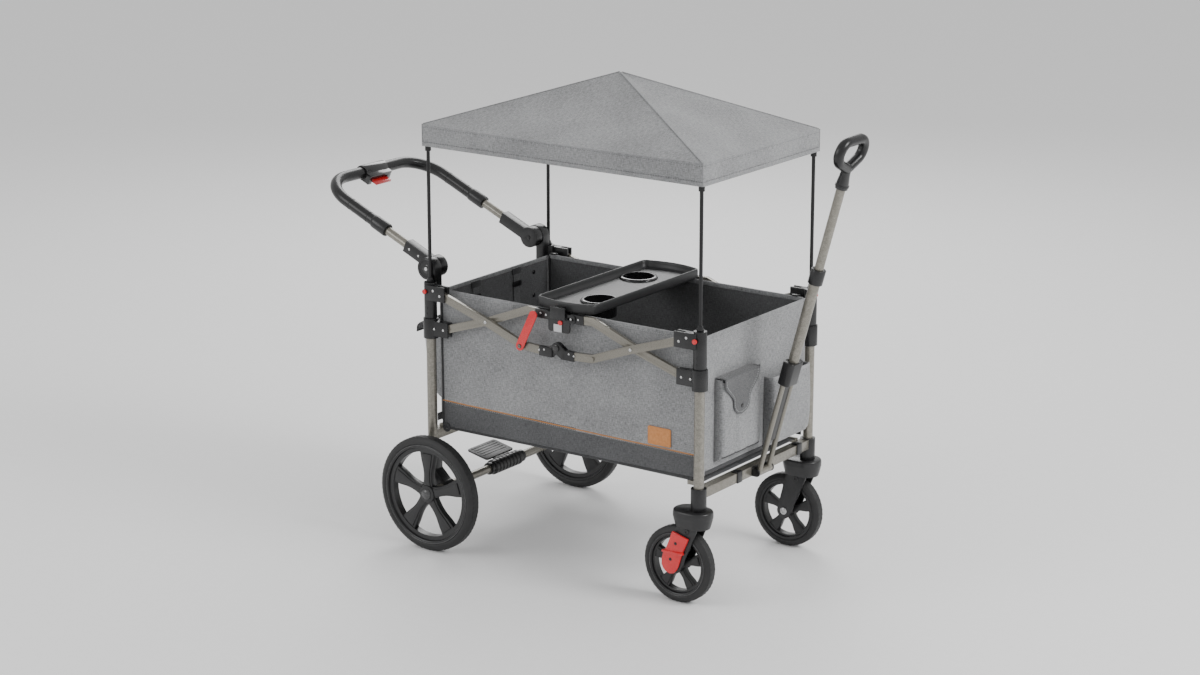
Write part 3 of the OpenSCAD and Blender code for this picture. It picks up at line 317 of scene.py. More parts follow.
# %% [markdown]
# ## Making meshes
# Most pieces are one of a few things: a section swept along a path, a profile turned about an
# axis, a softened copy of a machined piece, or a grid of cloth. One small helper makes each.

# %% Mesh helpers
def mesh_piece(name, verts, faces, finish):
    data = bpy.data.meshes.new(name)
    data.from_pydata([tuple(v) for v in verts], [], faces)
    data.validate()
    made = bpy.data.objects.new(name, data)
    bpy.context.scene.collection.objects.link(made)
    data.materials.append(finish)
    for p in data.polygons:
        p.use_smooth = True
    return made


def outward(obj, merge=1e-6):
    """Merges doubles and points every face outwards."""
    bm = bmesh.new()
    bm.from_mesh(obj.data)
    bmesh.ops.remove_doubles(bm, verts=bm.verts, dist=merge)
    bmesh.ops.recalc_face_normals(bm, faces=bm.faces)
    bm.to_mesh(obj.data)
    bm.free()
    return obj


def apply_modifiers(obj):
    """Replaces a piece's mesh by its mesh after modifiers, and removes them."""
    graph = bpy.context.evaluated_depsgraph_get()
    graph.update()
    done = bpy.data.meshes.new_from_object(obj.evaluated_get(graph), preserve_all_data_layers=True,
                                           depsgraph=graph)
    obj.modifiers.clear()
    obj.data = done
    return obj


def sharp_shade(obj, angle=35):
    for p in obj.data.polygons:
        p.use_smooth = True
    obj.data.set_sharp_from_angle(angle=math.radians(angle))
    return obj


def join(name, pieces):
    """One object from several, with their finishes kept."""
    finishes = []
    bm = bmesh.new()
    for piece in pieces:
        slots = []
        for finish in piece.data.materials:
            if finish not in finishes:
                finishes.append(finish)
            slots.append(finishes.index(finish))
        start = len(bm.faces)
        bm.from_mesh(piece.data)
        bm.faces.ensure_lookup_table()
        for face in bm.faces[start:]:
            face.material_index = slots[min(face.material_index, len(slots) - 1)]
        data = piece.data
        bpy.data.objects.remove(piece)
        bpy.data.meshes.remove(data)
    data = bpy.data.meshes.new(name)
    bm.to_mesh(data)
    bm.free()
    for finish in finishes:
        data.materials.append(finish)
    made = bpy.data.objects.new(name, data)
    bpy.context.scene.collection.objects.link(made)
    return made


# %% [markdown]
# Tubes, piping, straps and hems all follow a path with one section. The section is kept upright
# by carrying its side vector along the path, so a bend never twists it. A curve object with a
# bevel would do the same, but a plain mesh keeps its ends closed and its section exact.

# %% Sections and paths
def settle(obj, body, *nodes):
    """The piece rides on its body and stands for the nodes named."""
    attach(obj, body)
    if nodes:
        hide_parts(*nodes)
    print(f"{obj.name}: {len(obj.data.polygons)} faces on {body}")
    return obj


def circle_section(radius, steps=20):
    return [(radius * math.cos(2 * math.pi * i / steps), radius * math.sin(2 * math.pi * i / steps))
            for i in range(steps)]


def oval_section(half_a, half_b, corner, steps=5):
    """Rounded rectangle, as (a, b) points."""
    points = []
    for quarter, (sa, sb) in enumerate(((1, 1), (-1, 1), (-1, -1), (1, -1))):
        for i in range(steps + 1):
            angle = math.pi / 2 * (quarter + i / steps)
            points.append((sa * (half_a - corner) + corner * math.cos(angle),
                           sb * (half_b - corner) + corner * math.sin(angle)))
    return points


def sweep(name, path, section, finish, up=(0, 0, 1), closed=False):
    """A section swept along a path; its first axis lies across the path and up."""
    path = [Vector(p) for p in path]
    count = len(path)
    side = None
    verts, faces = [], []
    for i, p in enumerate(path):
        if closed:
            along = (path[(i + 1) % count] - path[i - 1]).normalized()
        else:
            along = (path[min(i + 1, count - 1)] - path[max(i - 1, 0)]).normalized()
        if side is None:
            side = along.cross(Vector(up)).normalized()
        side = (side - along * side.dot(along)).normalized()
        lift = side.cross(along).normalized()
        verts += [p + side * a + lift * b for a, b in section]
    n = len(section)
    for i in range(count if closed else count - 1):
        for j in range(n):
            a, b = i * n + j, i * n + (j + 1) % n
            c, d = ((i + 1) % count) * n + (j + 1) % n, ((i + 1) % count) * n + j
            faces.append((a, b, c, d))
    if not closed:
        faces.append(tuple(range(n))[::-1])
        faces.append(tuple((count - 1) * n + j for j in range(n)))
    return sharp_shade(outward(mesh_piece(name, verts, faces, finish)))


def arc(centre, radius, start, end, axes=((1, 0, 0), (0, 0, 1)), steps=12):
    """Points on an arc in the plane of two axes, in degrees."""
    a, b = Vector(axes[0]), Vector(axes[1])
    out = []
    for i in range(steps + 1):
        t = math.radians(start + (end - start) * i / steps)
        out.append(Vector(centre) + a * radius * math.cos(t) + b * radius * math.sin(t))
    return out


# %% [markdown]
# Wheels, caps and bolts are round, so a profile is turned about their axis. Arms, plates and
# blades are flat, so an outline is given a thickness. A machined node is copied, its doubles are
# merged, and a bevel modifier rounds what was sharp.

# %% Turned, flat and softened pieces
def turned(name, centre, profile, finish, axis=(0, 1, 0), steps=64, closed=False):
    """A profile of (radius, distance along the axis) turned about that axis."""
    axis = Vector(axis).normalized()
    a = axis.orthogonal().normalized()
    b = axis.cross(a)
    verts, faces = [], []
    for i in range(steps):
        t = 2 * math.pi * i / steps
        out = a * math.cos(t) + b * math.sin(t)
        verts += [Vector(centre) + out * r + axis * h for r, h in profile]
    n = len(profile)
    for i in range(steps):
        for j in range(n if closed else n - 1):
            k = (j + 1) % n
            faces.append((i * n + j, i * n + k, ((i + 1) % steps) * n + k, ((i + 1) % steps) * n + j))
    return sharp_shade(outward(mesh_piece(name, verts, faces, finish), 1e-7))


def slab(name, outline, along, start, end, finish, bevel=0.0, axes=None):
    """A flat outline drawn on two axes and given thickness along a third."""
    along = Vector(along)
    a, b = axes or ((1, 0, 0), (0, 0, 1))
    a, b = Vector(a), Vector(b)
    n = len(outline)
    verts = [a * p + b * q + along * start for p, q in outline] + [a * p + b * q + along * end for p,
                                                                   q in outline]
    faces = [tuple(range(n)), tuple(range(2 * n - 1, n - 1, -1))]
    faces += [(i, (i + 1) % n, n + (i + 1) % n, n + i) for i in range(n)]
    made = outward(mesh_piece(name, verts, faces, finish))
    return rounded(made, bevel) if bevel else sharp_shade(made)


def rounded(obj, width, segments=2, angle=32):
    edge = obj.modifiers.new("edge", "BEVEL")
    edge.width = width
    edge.segments = segments
    edge.limit_method = "ANGLE"
    edge.angle_limit = math.radians(angle)
    edge.use_clamp_overlap = True
    return sharp_shade(apply_modifiers(obj), 40)


def block(name, low, high, finish, bevel=0.001):
    (x0, y0, z0), (x1, y1, z1) = low, high
    return slab(name, [(x0, z0), (x1, z0), (x1, z1), (x0, z1)], (0, 1, 0), y0, y1, finish, bevel)


def softened(cad_name, finish, width=0.001, segments=2, other=None, is_other=None):
    """A copy of a machined node with its edges rounded; loose parts that pass a test take another finish."""
    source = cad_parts[cad_name]
    bm = bmesh.new()
    bm.from_mesh(source.data)
    bmesh.ops.remove_doubles(bm, verts=bm.verts, dist=2e-5)
    bmesh.ops.dissolve_limit(bm, angle_limit=math.radians(1.0), verts=bm.verts, edges=bm.edges)
    data = bpy.data.meshes.new(cad_name + "_soft")
    bm.to_mesh(data)
    bm.free()
    made = bpy.data.objects.new(cad_name + "_soft", data)
    bpy.context.scene.collection.objects.link(made)
    data.materials.append(finish)
    rounded(made, width, segments)
    if other is not None:
        made.data.materials.append(other)
        bm = bmesh.new()
        bm.from_mesh(made.data)
        seen = set()
        for face in bm.faces:
            if face in seen:
                continue
            island, todo = set(), [face]
            while todo:
                f = todo.pop()
                if f in island:
                    continue
                island.add(f)
                todo += [g for e in f.edges for g in e.link_faces if g not in island]
            seen |= island
            points = [v.co for f in island for v in f.verts]
            low = Vector([min(p[i] for p in points) for i in range(3)])
            high = Vector([max(p[i] for p in points) for i in range(3)])
            if is_other(low, high):
                for f in island:
                    f.material_index = 1
        bm.to_mesh(made.data)
        bm.free()
    return made


# %% [markdown]
# Cloth is a grid over two shares from 0 to 1, thickened about its middle, with a darker finish on
# the inside: partly a lining, partly painted shade. Its map is laid in metres, so that every sheet shows the
# same size of yarn.

# %% Cloth sheets
def cloth_map(obj):
    """A map in metres for woven finishes, laid by each face's own direction."""
    layer = obj.data.uv_layers.get("cloth") or obj.data.uv_layers.new(name="cloth")
    for p in obj.data.polygons:
        n = [abs(c) for c in p.normal]
        for k in p.loop_indices:
            co = obj.data.vertices[obj.data.loops[k].vertex_index].co
            if n[2] >= max(n[0], n[1]):
                layer.data[k].uv = (co.x, co.y)
            elif n[1] >= n[0]:
                layer.data[k].uv = (co.x, co.z)
            else:
                layer.data[k].uv = (co.y, co.z)
    return obj


def cloth_grid(name, surface, nu, nv, finish, thickness=0.0025, inner=None):
    """A sheet of cloth over (0..1, 0..1), thickened about its middle, with an inner finish."""
    verts = [surface(i / nu, j / nv) for j in range(nv + 1) for i in range(nu + 1)]
    faces = [(j * (nu + 1) + i, j * (nu + 1) + i + 1, (j + 1) * (nu + 1) + i + 1, (j + 1) * (nu + 1) + i)
             for j in range(nv) for i in range(nu)]
    made = mesh_piece(name, verts, faces, finish)
    thick = made.modifiers.new("thick", "SOLIDIFY")
    thick.thickness = thickness
    thick.offset = 0
    if inner:
        made.data.materials.append(inner)
        thick.material_offset = 1
        thick.material_offset_rim = 0
    return cloth_map(apply_modifiers(made))


def puckers(x, z, size=1.0, seed=0.0):
    """Small irregular swell of a hanging cloth, about -1 to 1."""
    broad = noise.noise(Vector((x * 7 * size, z * 5 * size, seed)))
    fine = noise.noise(Vector((x * 19 * size, z * 13 * size, seed + 9)))
    return broad * 1.3 + fine * 0.45


# %% [markdown]
# ## Repeated fittings
# Rivets, screws, stitches and tyre lugs repeat, so Geometry Nodes place them: each tree takes
# points, puts one small shape on every point, turns it to face outwards and realizes the lot.

# %% Geometry Nodes helpers
def geo_tree(name, inputs):
    tree = bpy.data.node_groups.new(name, "GeometryNodeTree")
    tree.interface.new_socket("Geometry", in_out="INPUT", socket_type="NodeSocketGeometry")
    for label, kind, value in inputs:
        tree.interface.new_socket(label, in_out="INPUT", socket_type=kind).default_value = value
    tree.interface.new_socket("Geometry", in_out="OUTPUT", socket_type="NodeSocketGeometry")
    return tree, tree.nodes.new("NodeGroupInput"), tree.nodes.new("NodeGroupOutput")


def run_tree(name, tree, points, facing, finish, **sizes):
    """Runs a tree on loose points that carry a facing direction, and keeps the result as a mesh."""
    data = bpy.data.meshes.new(name)
    data.from_pydata([tuple(p) for p in points], [], [])
    way = data.attributes.new("facing", "FLOAT_VECTOR", "POINT")
    for i, f in enumerate(facing):
        way.data[i].vector = tuple(Vector(f).normalized())
    made = bpy.data.objects.new(name, data)
    bpy.context.scene.collection.objects.link(made)
    repeat = made.modifiers.new("repeat", "NODES")
    repeat.node_group = tree
    for item in tree.interface.items_tree:
        if item.in_out == "INPUT" and item.name in sizes:
            repeat[item.identifier] = sizes[item.name]
        if item.in_out == "INPUT" and item.name == "Finish":
            repeat[item.identifier] = finish
    apply_modifiers(made)
    if not made.data.materials:
        made.data.materials.append(finish)
    return sharp_shade(made, 50)


def placing_tree(name, shape_maker, extra):
    """A tree that puts one shape on every point, with its Z along the point's facing."""
    tree, g_in, g_out = geo_tree(name, extra + [("Seed", "NodeSocketInt", 1)])
    tree.interface.new_socket("Finish", in_out="INPUT", socket_type="NodeSocketMaterial")
    shape = shape_maker(tree, g_in)
    way = node(tree, "GeometryNodeInputNamedAttribute", {"data_type": "FLOAT_VECTOR"}, Name="facing")
    aim = node(tree, "FunctionNodeAlignRotationToVector", {"axis": "Z"}, Vector=way.outputs[0])
    placed = node(tree, "GeometryNodeInstanceOnPoints", None, Points=g_in.outputs["Geometry"],
                  Instance=shape, Rotation=aim.outputs[0])
    real = node(tree, "GeometryNodeRealizeInstances", None, Geometry=placed.outputs[0])
    coat = node(tree, "GeometryNodeSetMaterial", None, Geometry=real.outputs[0],
                Material=g_in.outputs["Finish"])
    tree.links.new(coat.outputs[0], g_out.inputs[0])
    return tree


def dome_shape(tree, g_in):
    ball = node(tree, "GeometryNodeMeshUVSphere", None, Segments=14, Rings=8,
                Radius=g_in.outputs["Head radius"])
    flat = node(tree, "ShaderNodeCombineXYZ", None, X=1.0, Y=1.0, Z=g_in.outputs["Flatness"])
    return node(tree, "GeometryNodeTransform", None, Geometry=ball.outputs[0],
                Scale=flat.outputs[0]).outputs[0]


def stitch_shape(tree, g_in):
    rod = node(tree, "GeometryNodeMeshUVSphere", None, Segments=6, Rings=4,
               Radius=g_in.outputs["Stitch length"])
    thin = node(tree, "ShaderNodeCombineXYZ", None, X=g_in.outputs["Thinness"], Y=g_in.outputs["Thinness"],
                Z=1.0)
    return node(tree, "GeometryNodeTransform", None, Geometry=rod.outputs[0],
                Scale=thin.outputs[0]).outputs[0]


rivet_tree = placing_tree("rivet_heads", dome_shape,
                          [("Head radius", "NodeSocketFloat", 0.003), ("Flatness", "NodeSocketFloat", 0.5)])
stitch_tree = placing_tree("stitches", stitch_shape, [("Stitch length", "NodeSocketFloat", 0.0016),
                                                      ("Thinness", "NodeSocketFloat", 0.28)])


def rivets(name, body, spots, finish, radius=0.003, flatness=0.5):
    """spots are (point, outward direction) pairs."""
    made = run_tree(name, rivet_tree, [s[0] for s in spots], [s[1] for s in spots], finish,
                    **{"Head radius": radius, "Flatness": flatness})
    return settle(made, body)


def spaced(path, pitch):
    """Evenly spaced points and directions along a path."""
    path = [Vector(p) for p in path]
    out, ways, left = [], [], pitch / 2
    for a, b in zip(path, path[1:]):
        step = b - a
        length = step.length
        while left < length:
            out.append(a + step * (left / length))
            ways.append(step.normalized())
            left += pitch
        left -= length
    return out, ways


def stitches(name, path, finish=None, pitch=0.006, length=0.0019):
    points, ways = spaced(path, pitch)
    made = run_tree(name, stitch_tree, points, ways, finish or thread,
                    **{"Stitch length": length, "Thinness": 0.3})
    return cloth_map(made)


print("trees", [t.name for t in bpy.data.node_groups if t.bl_idname == "GeometryNodeTree"])

# %% [markdown]
# ## Wheels
# A wheel is a tyre with rounded shoulders on a moulded rim with five spokes that flare towards
# the ring. The tyre is a turned profile; its lugs are placed by Geometry Nodes; the spokes are
# one flared outline, repeated five times round the hub. A thin ridge marks the rim's edge; the ridge
# and the hub cap are a lighter grey than the rim, which is a painted highlight.

# %% Wheels
def lug_shape(tree, g_in):
    size = node(tree, "ShaderNodeCombineXYZ", None, X=g_in.outputs["Lug width"],
                Y=g_in.outputs["Lug length"], Z=g_in.outputs["Lug height"])
    cube = node(tree, "GeometryNodeMeshCube", None, Size=size.outputs[0])
    return node(tree, "GeometryNodeTransform", None, Geometry=cube.outputs[0],
                Rotation=(0, 0, 0.6)).outputs[0]


lug_tree = placing_tree("tyre_lugs", lug_shape, [("Lug width", "NodeSocketFloat", 0.003),
                                                 ("Lug length", "NodeSocketFloat", 0.012),
                                                 ("Lug height", "NodeSocketFloat", 0.002)])


def tyre_profile(radius, inner, width):
    half = width / 2
    crown = [(radius - 0.0012 + 0.0012 * math.cos(t), half * 0.62 * math.sin(t) / math.sin(1.25)) for t in
             [-1.25 + 2.5 * i / 8 for i in range(9)]]
    shoulder = [(radius - 0.0045, half * 0.8), (radius - 0.0085, half * 0.94), (radius - 0.0125, half),
                (inner + 0.004, half), (inner + 0.001, half * 0.9), (inner, half * 0.8)]
    return [(r, -h) for r, h in reversed(shoulder)] + crown + shoulder


def spoke_outline(r0, r1, w0, w1):
    """Half-width grows slowly at first, then flares into the ring."""
    left, right = [], []
    for i in range(11):
        t = i / 10
        r = r0 + (r1 - r0) * t
        w = w0 * (1 - 0.25 * math.sin(math.pi * min(1, t * 1.5))) + (w1 - w0) * t ** 2.6
        left.append((r, w))
        right.append((r, -w))
    return left + right[::-1]


# radius, tyre width, ring radius, ring depth, hub radius, half-width of a spoke at the ring
REAR_WHEEL = (0.148, 0.036, 0.128, 0.018, 0.024, 0.042)
FRONT_WHEEL = (0.095, 0.034, 0.078, 0.012, 0.018, 0.026)


def wheel(label, body, centre, out, sizes, tyre_node, rim_node):
    """out is +1 or -1, the side along Y that faces away from the wagon; sizes are the six above."""
    radius, width, ring, ring_t, hub, window = sizes
    axis = (0, out, 0)
    tyre = turned(label + "_tyre", centre, tyre_profile(radius, ring, width), rubber, axis, 96, True)
    points, facing = [], []
    count = round(2 * math.pi * radius / 0.0125)
    for i in range(count):
        t = 2 * math.pi * i / count
        for row in (-0.17, 0.17):
            way = Vector((math.cos(t + row * 0.04), 0, math.sin(t + row * 0.04)))
            points.append(Vector(centre) + way * (radius - 0.0012) + Vector((0, row * width, 0)))
            facing.append(way)
    lugs = run_tree(label + "_lugs", lug_tree, points, facing, rubber,
                    **{"Lug width": 0.0062, "Lug length": width * 0.25, "Lug height": 0.0022})
    settle(join(label + "_tyre_and_lugs", [tyre, lugs]), body, tyre_node)

    half = width / 2 - 0.002
    # the ring has a step on its outer face
    ring_line = [(ring, -half), (ring, half), (ring - 0.0035, half + 0.0012), (ring - 0.006, half),
                 (ring - 0.008, half - 0.005), (ring - ring_t, half - 0.006), (ring - ring_t, -half + 0.006),
                 (ring - 0.008, -half + 0.005), (ring - 0.006, -half)]
    pieces = [turned(label + "_ring", centre, ring_line, rim_plastic, axis, 80, True)]
    spoke_t = width * 0.24
    for k in range(5):
        angle = math.pi / 2 + 2 * math.pi * k / 5
        a = (math.cos(angle), 0, math.sin(angle))
        b = (-math.sin(angle), 0, math.cos(angle))
        w1 = window * 0.62
        blade = slab(label + "_spoke", spoke_outline(hub * 0.7, ring - ring_t * 0.6, hub * 0.66, w1), axis,
                     -spoke_t, spoke_t, rim_plastic, 0.0030, (a, b))
        rib = slab(label + "_spoke_rib", spoke_outline(hub * 0.9, ring - ring_t * 1.25, hub * 0.42,
                                                       w1 * 0.62), axis, spoke_t - 0.001, spoke_t + 0.0026,
                                                       rim_plastic, 0.0022, (a, b))
        for piece in (blade, rib):
            piece.data.transform(Matrix.Translation(centre))
            pieces.append(piece)
    hub_line = [(0, -half * 0.9), (hub * 0.9, -half * 0.9), (hub, -half * 0.7), (hub, half * 0.55),
                (hub * 0.93, half * 0.8), (hub * 0.8, half * 0.86), (0.0, half * 0.86)]
    pieces.append(turned(label + "_hub", centre, hub_line, rim_plastic, axis, 40))
    # the hub cap is a lighter grey than the rim: a painted highlight
    cap = 0.006 if width > 0.035 else 0.0006
    cap_line = [(0, half * 0.8), (hub * 0.62, half * 0.8)]
    cap_line += [(hub * 0.62 * math.cos(t), half * 0.86 + (half * 0.14 + cap) * math.sin(t))
                 for t in [math.pi / 2 * i / 6 for i in range(7)]]
    pieces.append(turned(label + "_cap", centre, cap_line, painted_highlight_plastic, axis, 32))
    rim = join(label + "_rim", pieces)
    settle(rim, body, rim_node)
    # the thin edge ridge is a lighter grey than the rim: a painted highlight
    edge_line = [(ring + 0.0012, half + 0.0002), (ring + 0.0005, half + 0.0016),
                 (ring - 0.0005, half + 0.0022), (ring - 0.0015, half + 0.0016),
                 (ring - 0.0022, half + 0.0002)]
    settle(turned(label + "_ridge", centre, edge_line, painted_highlight_plastic, axis, 96, True), body)


for label, side in (("near", -1), ("far", 1)):
    low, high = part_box(f"rear_tyre_{label}")
    centre = [(low[i] + high[i]) / 2 for i in range(3)]
    wheel(f"rear_{label}", f"rear_wheel_{label}", centre, side, REAR_WHEEL, f"rear_tyre_{label}",
          f"rear_rim_{label}")
    low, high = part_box(f"front_tyre_{label}")
    centre = [(low[i] + high[i]) / 2 for i in range(3)]
    wheel(f"front_{label}", f"front_wheel_{label}", centre, side, FRONT_WHEEL, f"front_tyre_{label}",
          f"front_rim_{label}")

# %% [markdown]
# ## Castors
# Each castor has a domed head with a stepped edge, two flat arms that lean back to the axle,
# round bolts, and a red brake in two parts: an upper wedge to step on and a lower paddle.

# %% Castors
CASTOR_Y = 0.246
POST_X = 0.403
AXLE_X, AXLE_Z = 0.351, 0.095


def stadium(front_x, rear_x, y, radius, shrink, steps=14):
    out = []
    for i in range(steps + 1):
        t = -math.pi / 2 + math.pi * i / steps
        out.append((front_x + radius * shrink * math.cos(t), y + radius * shrink * math.sin(t)))
    for i in range(steps + 1):
        t = math.pi / 2 + math.pi * i / steps
        out.append((rear_x + radius * shrink * math.cos(t), y + radius * shrink * math.sin(t)))
    return out


def lofted(name, rings, finish):
    """Closed rings of equal count, capped at both ends."""
    n = len(rings[0])
    verts = [v for ring in rings for v in ring]
    faces = [(i * n + j, i * n + (j + 1) % n, (i + 1) * n + (j + 1) % n, (i + 1) * n + j)
             for i in range(len(rings) - 1) for j in range(n)]
    faces += [tuple(range(n)), tuple((len(rings) - 1) * n + j for j in range(n))]
    return sharp_shade(outward(mesh_piece(name, verts, faces, finish)), 50)


def castor(label, side):
    y = side * CASTOR_Y
    head_rings = []
    for z, shrink in ((0.1942, 0.74), (0.1950, 0.80), (0.2040, 0.88), (0.2140, 0.95), (0.2200, 0.985),
                      (0.2215, 1.0), (0.2300, 1.0), (0.2342, 0.985), (0.2364, 0.955), (0.2374, 0.91)):
        head_rings.append([(*spot, z) for spot in stadium(POST_X, POST_X - 0.030, y, 0.036, shrink)])
    pieces = [lofted(label + "_head", head_rings, fork_paint)]
    for s in (-1, 1):
        inner, outer = sorted((y + s * 0.019, y + s * 0.024))
        top, foot = Vector((0.385, 0.196)), Vector((AXLE_X, AXLE_Z))
        way = (foot - top).normalized()
        cross = Vector((-way.y, way.x))
        outline = [top - cross * 0.028 * math.cos(t) - way * 0.024 * math.sin(t)
                   for t in [math.pi * i / 14 for i in range(15)]]
        outline += [foot + cross * 0.020 * math.cos(t) + way * 0.020 * math.sin(t)
                    for t in [math.pi * i / 12 for i in range(13)]]
        pieces.append(slab(label + "_arm", [tuple(p) for p in outline], (0, 1, 0), inner, outer, fork_paint,
                           0.0014))
        # bolt at the foot and a pressed boss higher up
        for (bx, bz), radius in (((AXLE_X, AXLE_Z), 0.0095), ((0.386, 0.188), 0.007)):
            face = y + s * 0.024
            bolt = [(0, 0), (radius, 0), (radius, 0.0018), (radius * 0.8, 0.0032), (radius * 0.45, 0.0034),
                    (radius * 0.4, 0.0022), (0, 0.0022)]
            pieces.append(turned(label + "_bolt", (bx, face - s * 0.0004, bz), bolt,
                                 steel if radius > 0.009 else black_plastic, (0, s, 0), 24))
    stem = [(0, 0), (0.0058, 0), (0.0058, 0.016), (0, 0.016)]
    pieces.append(turned(label + "_stem", (POST_X, y, 0.2365), stem, steel, (0, 0, 1), 20))
    axle = [(0, -0.0185), (0.0058, -0.0185), (0.0058, 0.0185), (0, 0.0185)]
    pieces.append(turned(label + "_axle", (AXLE_X, y, AXLE_Z), axle, steel, (0, 1, 0), 20))
    settle(join(label + "_fork", pieces), "castor_" + label, "castor_fork_" + label)

    # red brake on the outer side
    face = y + side * 0.0243
    deep = side * 0.0085
    low, high = sorted((face + side * 0.0012, face + deep))
    wedge = [(0.349, 0.184), (0.395, 0.171), (0.387, 0.152), (0.378, 0.133), (0.326, 0.130), (0.333, 0.141),
             (0.342, 0.164)]
    upper = slab(label + "_lock_wedge", wedge, (0, 1, 0), low, high, red_plastic, 0.0022)
    paddle = [(0.349, 0.182), (0.394, 0.170), (0.386, 0.150), (0.377, 0.130), (0.371, 0.112), (0.366, 0.095),
              (0.360, 0.084), (0.352, 0.077), (0.342, 0.075), (0.331, 0.078), (0.323, 0.085), (0.318, 0.095),
              (0.318, 0.108), (0.322, 0.124), (0.331, 0.140), (0.341, 0.162)]
    low, high = sorted((face + side * 0.0012, face + side * 0.0062))
    lower = slab(label + "_lock_paddle", paddle, (0, 1, 0), low, high, red_plastic, 0.002)
    low, high = sorted((face + side * 0.001, face + side * 0.0125))
    ledge = block(label + "_lock_ledge", (0.322, low, 0.128), (0.381, high, 0.134), red_plastic, 0.0022)
    lock = join(label + "_castor_lock", [upper, lower, ledge])
    settle(lock, "castor_lock_" + label, "castor_lock_" + label)
    spots = [((0.360, face + side * 0.0088, 0.155), (0, side, 0)),
             ((0.344, face + side * 0.0064, 0.112), (0, side, 0))]
    rivets(label + "_lock_screws", "castor_lock_" + label, spots, black_plastic, 0.0042, 0.35)


castor("near", -1)
castor("far", 1)

# %% [markdown]
# ## Tubes, bars and mouldings
# The machined nodes already have the right shape. Posts and beams keep their own meshes with a
# paint finish. Mouldings are copied with their edges rounded, because a real moulding never
# ends in a knife edge, and loose studs on them turn red.

# %% Painted tubes
for name in ("rear_posts", "front_posts", "rear_axle", "pull_tubes", "pull_inner_tube", "handle_tubes"):
    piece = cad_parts[name]
    piece.data.materials.clear()
    piece.data.materials.append(champagne)
for name in ("rear_poles", "front_poles"):
    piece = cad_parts[name]
    piece.data.materials.clear()
    piece.data.materials.append(pole_paint)


# %% Rounded mouldings
def small_stud(low, high):
    size = high - low
    return max(size) < 0.014


def red_button(low, high):
    size = high - low
    return max(size) < 0.02


frame_pieces = (
    ("rear_corner_joints", "rear_frame", black_plastic, 0.0018),
    ("rear_beam", "rear_frame", champagne, 0.0016),
    ("axle_brackets", "rear_frame", black_plastic, 0.002),
    ("handle_hinge_housings", "rear_frame", black_plastic, 0.0022),
    ("front_corner_joints", "front_frame", black_plastic, 0.0018),
    ("front_beam", "front_frame", champagne, 0.0016),
    ("pull_hinge_bracket", "front_frame", black_plastic, 0.0012),
    ("rear_outer_bars", "outer_links_rear", champagne, 0.003),
    ("front_outer_bars", "outer_links_front", champagne, 0.003),
    ("rear_inner_bars", "inner_links_rear", champagne, 0.003),
    ("front_inner_bars", "inner_links_front", champagne, 0.003),
    ("rear_knuckles", "outer_links_rear", black_plastic, 0.0014),
    ("front_knuckles", "outer_links_front", black_plastic, 0.0014),
    ("rear_bar_ends", "inner_links_rear", black_plastic, 0.0014),
    ("front_bar_ends", "inner_links_front", black_plastic, 0.0014),
    ("rear_sliders", "sliders_rear", black_plastic, 0.0018),
    ("front_sliders", "sliders_front", black_plastic, 0.0018),
    ("top_brackets", "centre_brackets", black_plastic, 0.001),
    ("tray_clips", "tray", black_plastic, 0.001),
    ("handle_paddles", "push_handle_lower", black_plastic, 0.008),
    ("handle_housing", "push_handle_upper", gloss_black, 0.006),
    ("handle_lever", "push_release", red_plastic, 0.0015),
    ("lock_link", "fold_lock", red_plastic, 0.0011),
    ("pull_collars", "pull_handle_lower", black_plastic, 0.002),
)
RED_STUDS = {"rear_corner_joints", "front_corner_joints", "top_brackets"}
for name, body, finish, width in frame_pieces:
    if name in RED_STUDS:
        piece = softened(name, finish, width, 2, red_plastic, red_button)
    elif name in ("rear_outer_bars", "front_outer_bars"):
        piece = softened(name, finish, width, 3, black_plastic, small_stud)
    else:
        piece = softened(name, finish, width)
    settle(piece, body, name)

# %% [markdown]
# Rivets hold the linkage together: two on each sleeve, one at each crossing. They are placed as
# points with an outward direction on the near side and mirrored to the far side.

# %% Rivets and screws
def both_sides(spots):
    out = []
    for (x, y, z), (nx, ny, nz) in spots:
        out += [((x, -y, z), (nx, -ny, nz)), ((x, y, z), (nx, ny, nz))]
    return out


OUT_Y = (0, 1, 0)
BAR_FACE = 0.263
for label, s, frame_body, slider_body, link_body, inner_body in (
        ("rear", -1, "rear_frame", "sliders_rear", "outer_links_rear", "inner_links_rear"),
        ("front", 1, "front_frame", "sliders_front", "outer_links_front", "inner_links_front")):
    rivets(label + "_sleeve_rivets", frame_body, both_sides(
        [((s * 0.357, 0.2682, 0.650), OUT_Y), ((s * 0.378, 0.2682, 0.661), OUT_Y)]), steel, 0.0036, 0.35)
    rivets(label + "_sleeve_screws", frame_body,
           both_sides([((s * 0.403, 0.2622, 0.598), OUT_Y), ((s * 0.403, 0.2622, 0.612), OUT_Y)]),
           black_plastic, 0.0034, 0.3)
    rivets(label + "_slider_rivets", slider_body, both_sides(
        [((s * 0.357, 0.2562, 0.560), OUT_Y), ((s * 0.384, 0.2582, 0.560), OUT_Y)]), steel, 0.0034, 0.35)
    rivets(label + "_crossing_rivets", link_body,
           both_sides([((s * 0.217, BAR_FACE + 0.0016, 0.605), OUT_Y)]), steel, 0.0044, 0.4)
    rivets(label + "_knuckle_rivets", link_body,
           both_sides([((s * 0.052, BAR_FACE + 0.0016, 0.5625), OUT_Y),
                       ((s * 0.037, BAR_FACE + 0.0016, 0.565), OUT_Y)]), steel, 0.0026, 0.4)
    rivets(label + "_bar_end_rivets", inner_body, both_sides([((s * 0.056, 0.2523, 0.651), OUT_Y)]), steel,
           0.0026, 0.35)
rivets("knuckle_discs", "outer_links_rear", both_sides([((0, 0.267, 0.575), OUT_Y)]), gloss_black, 0.0085,
       0.16)
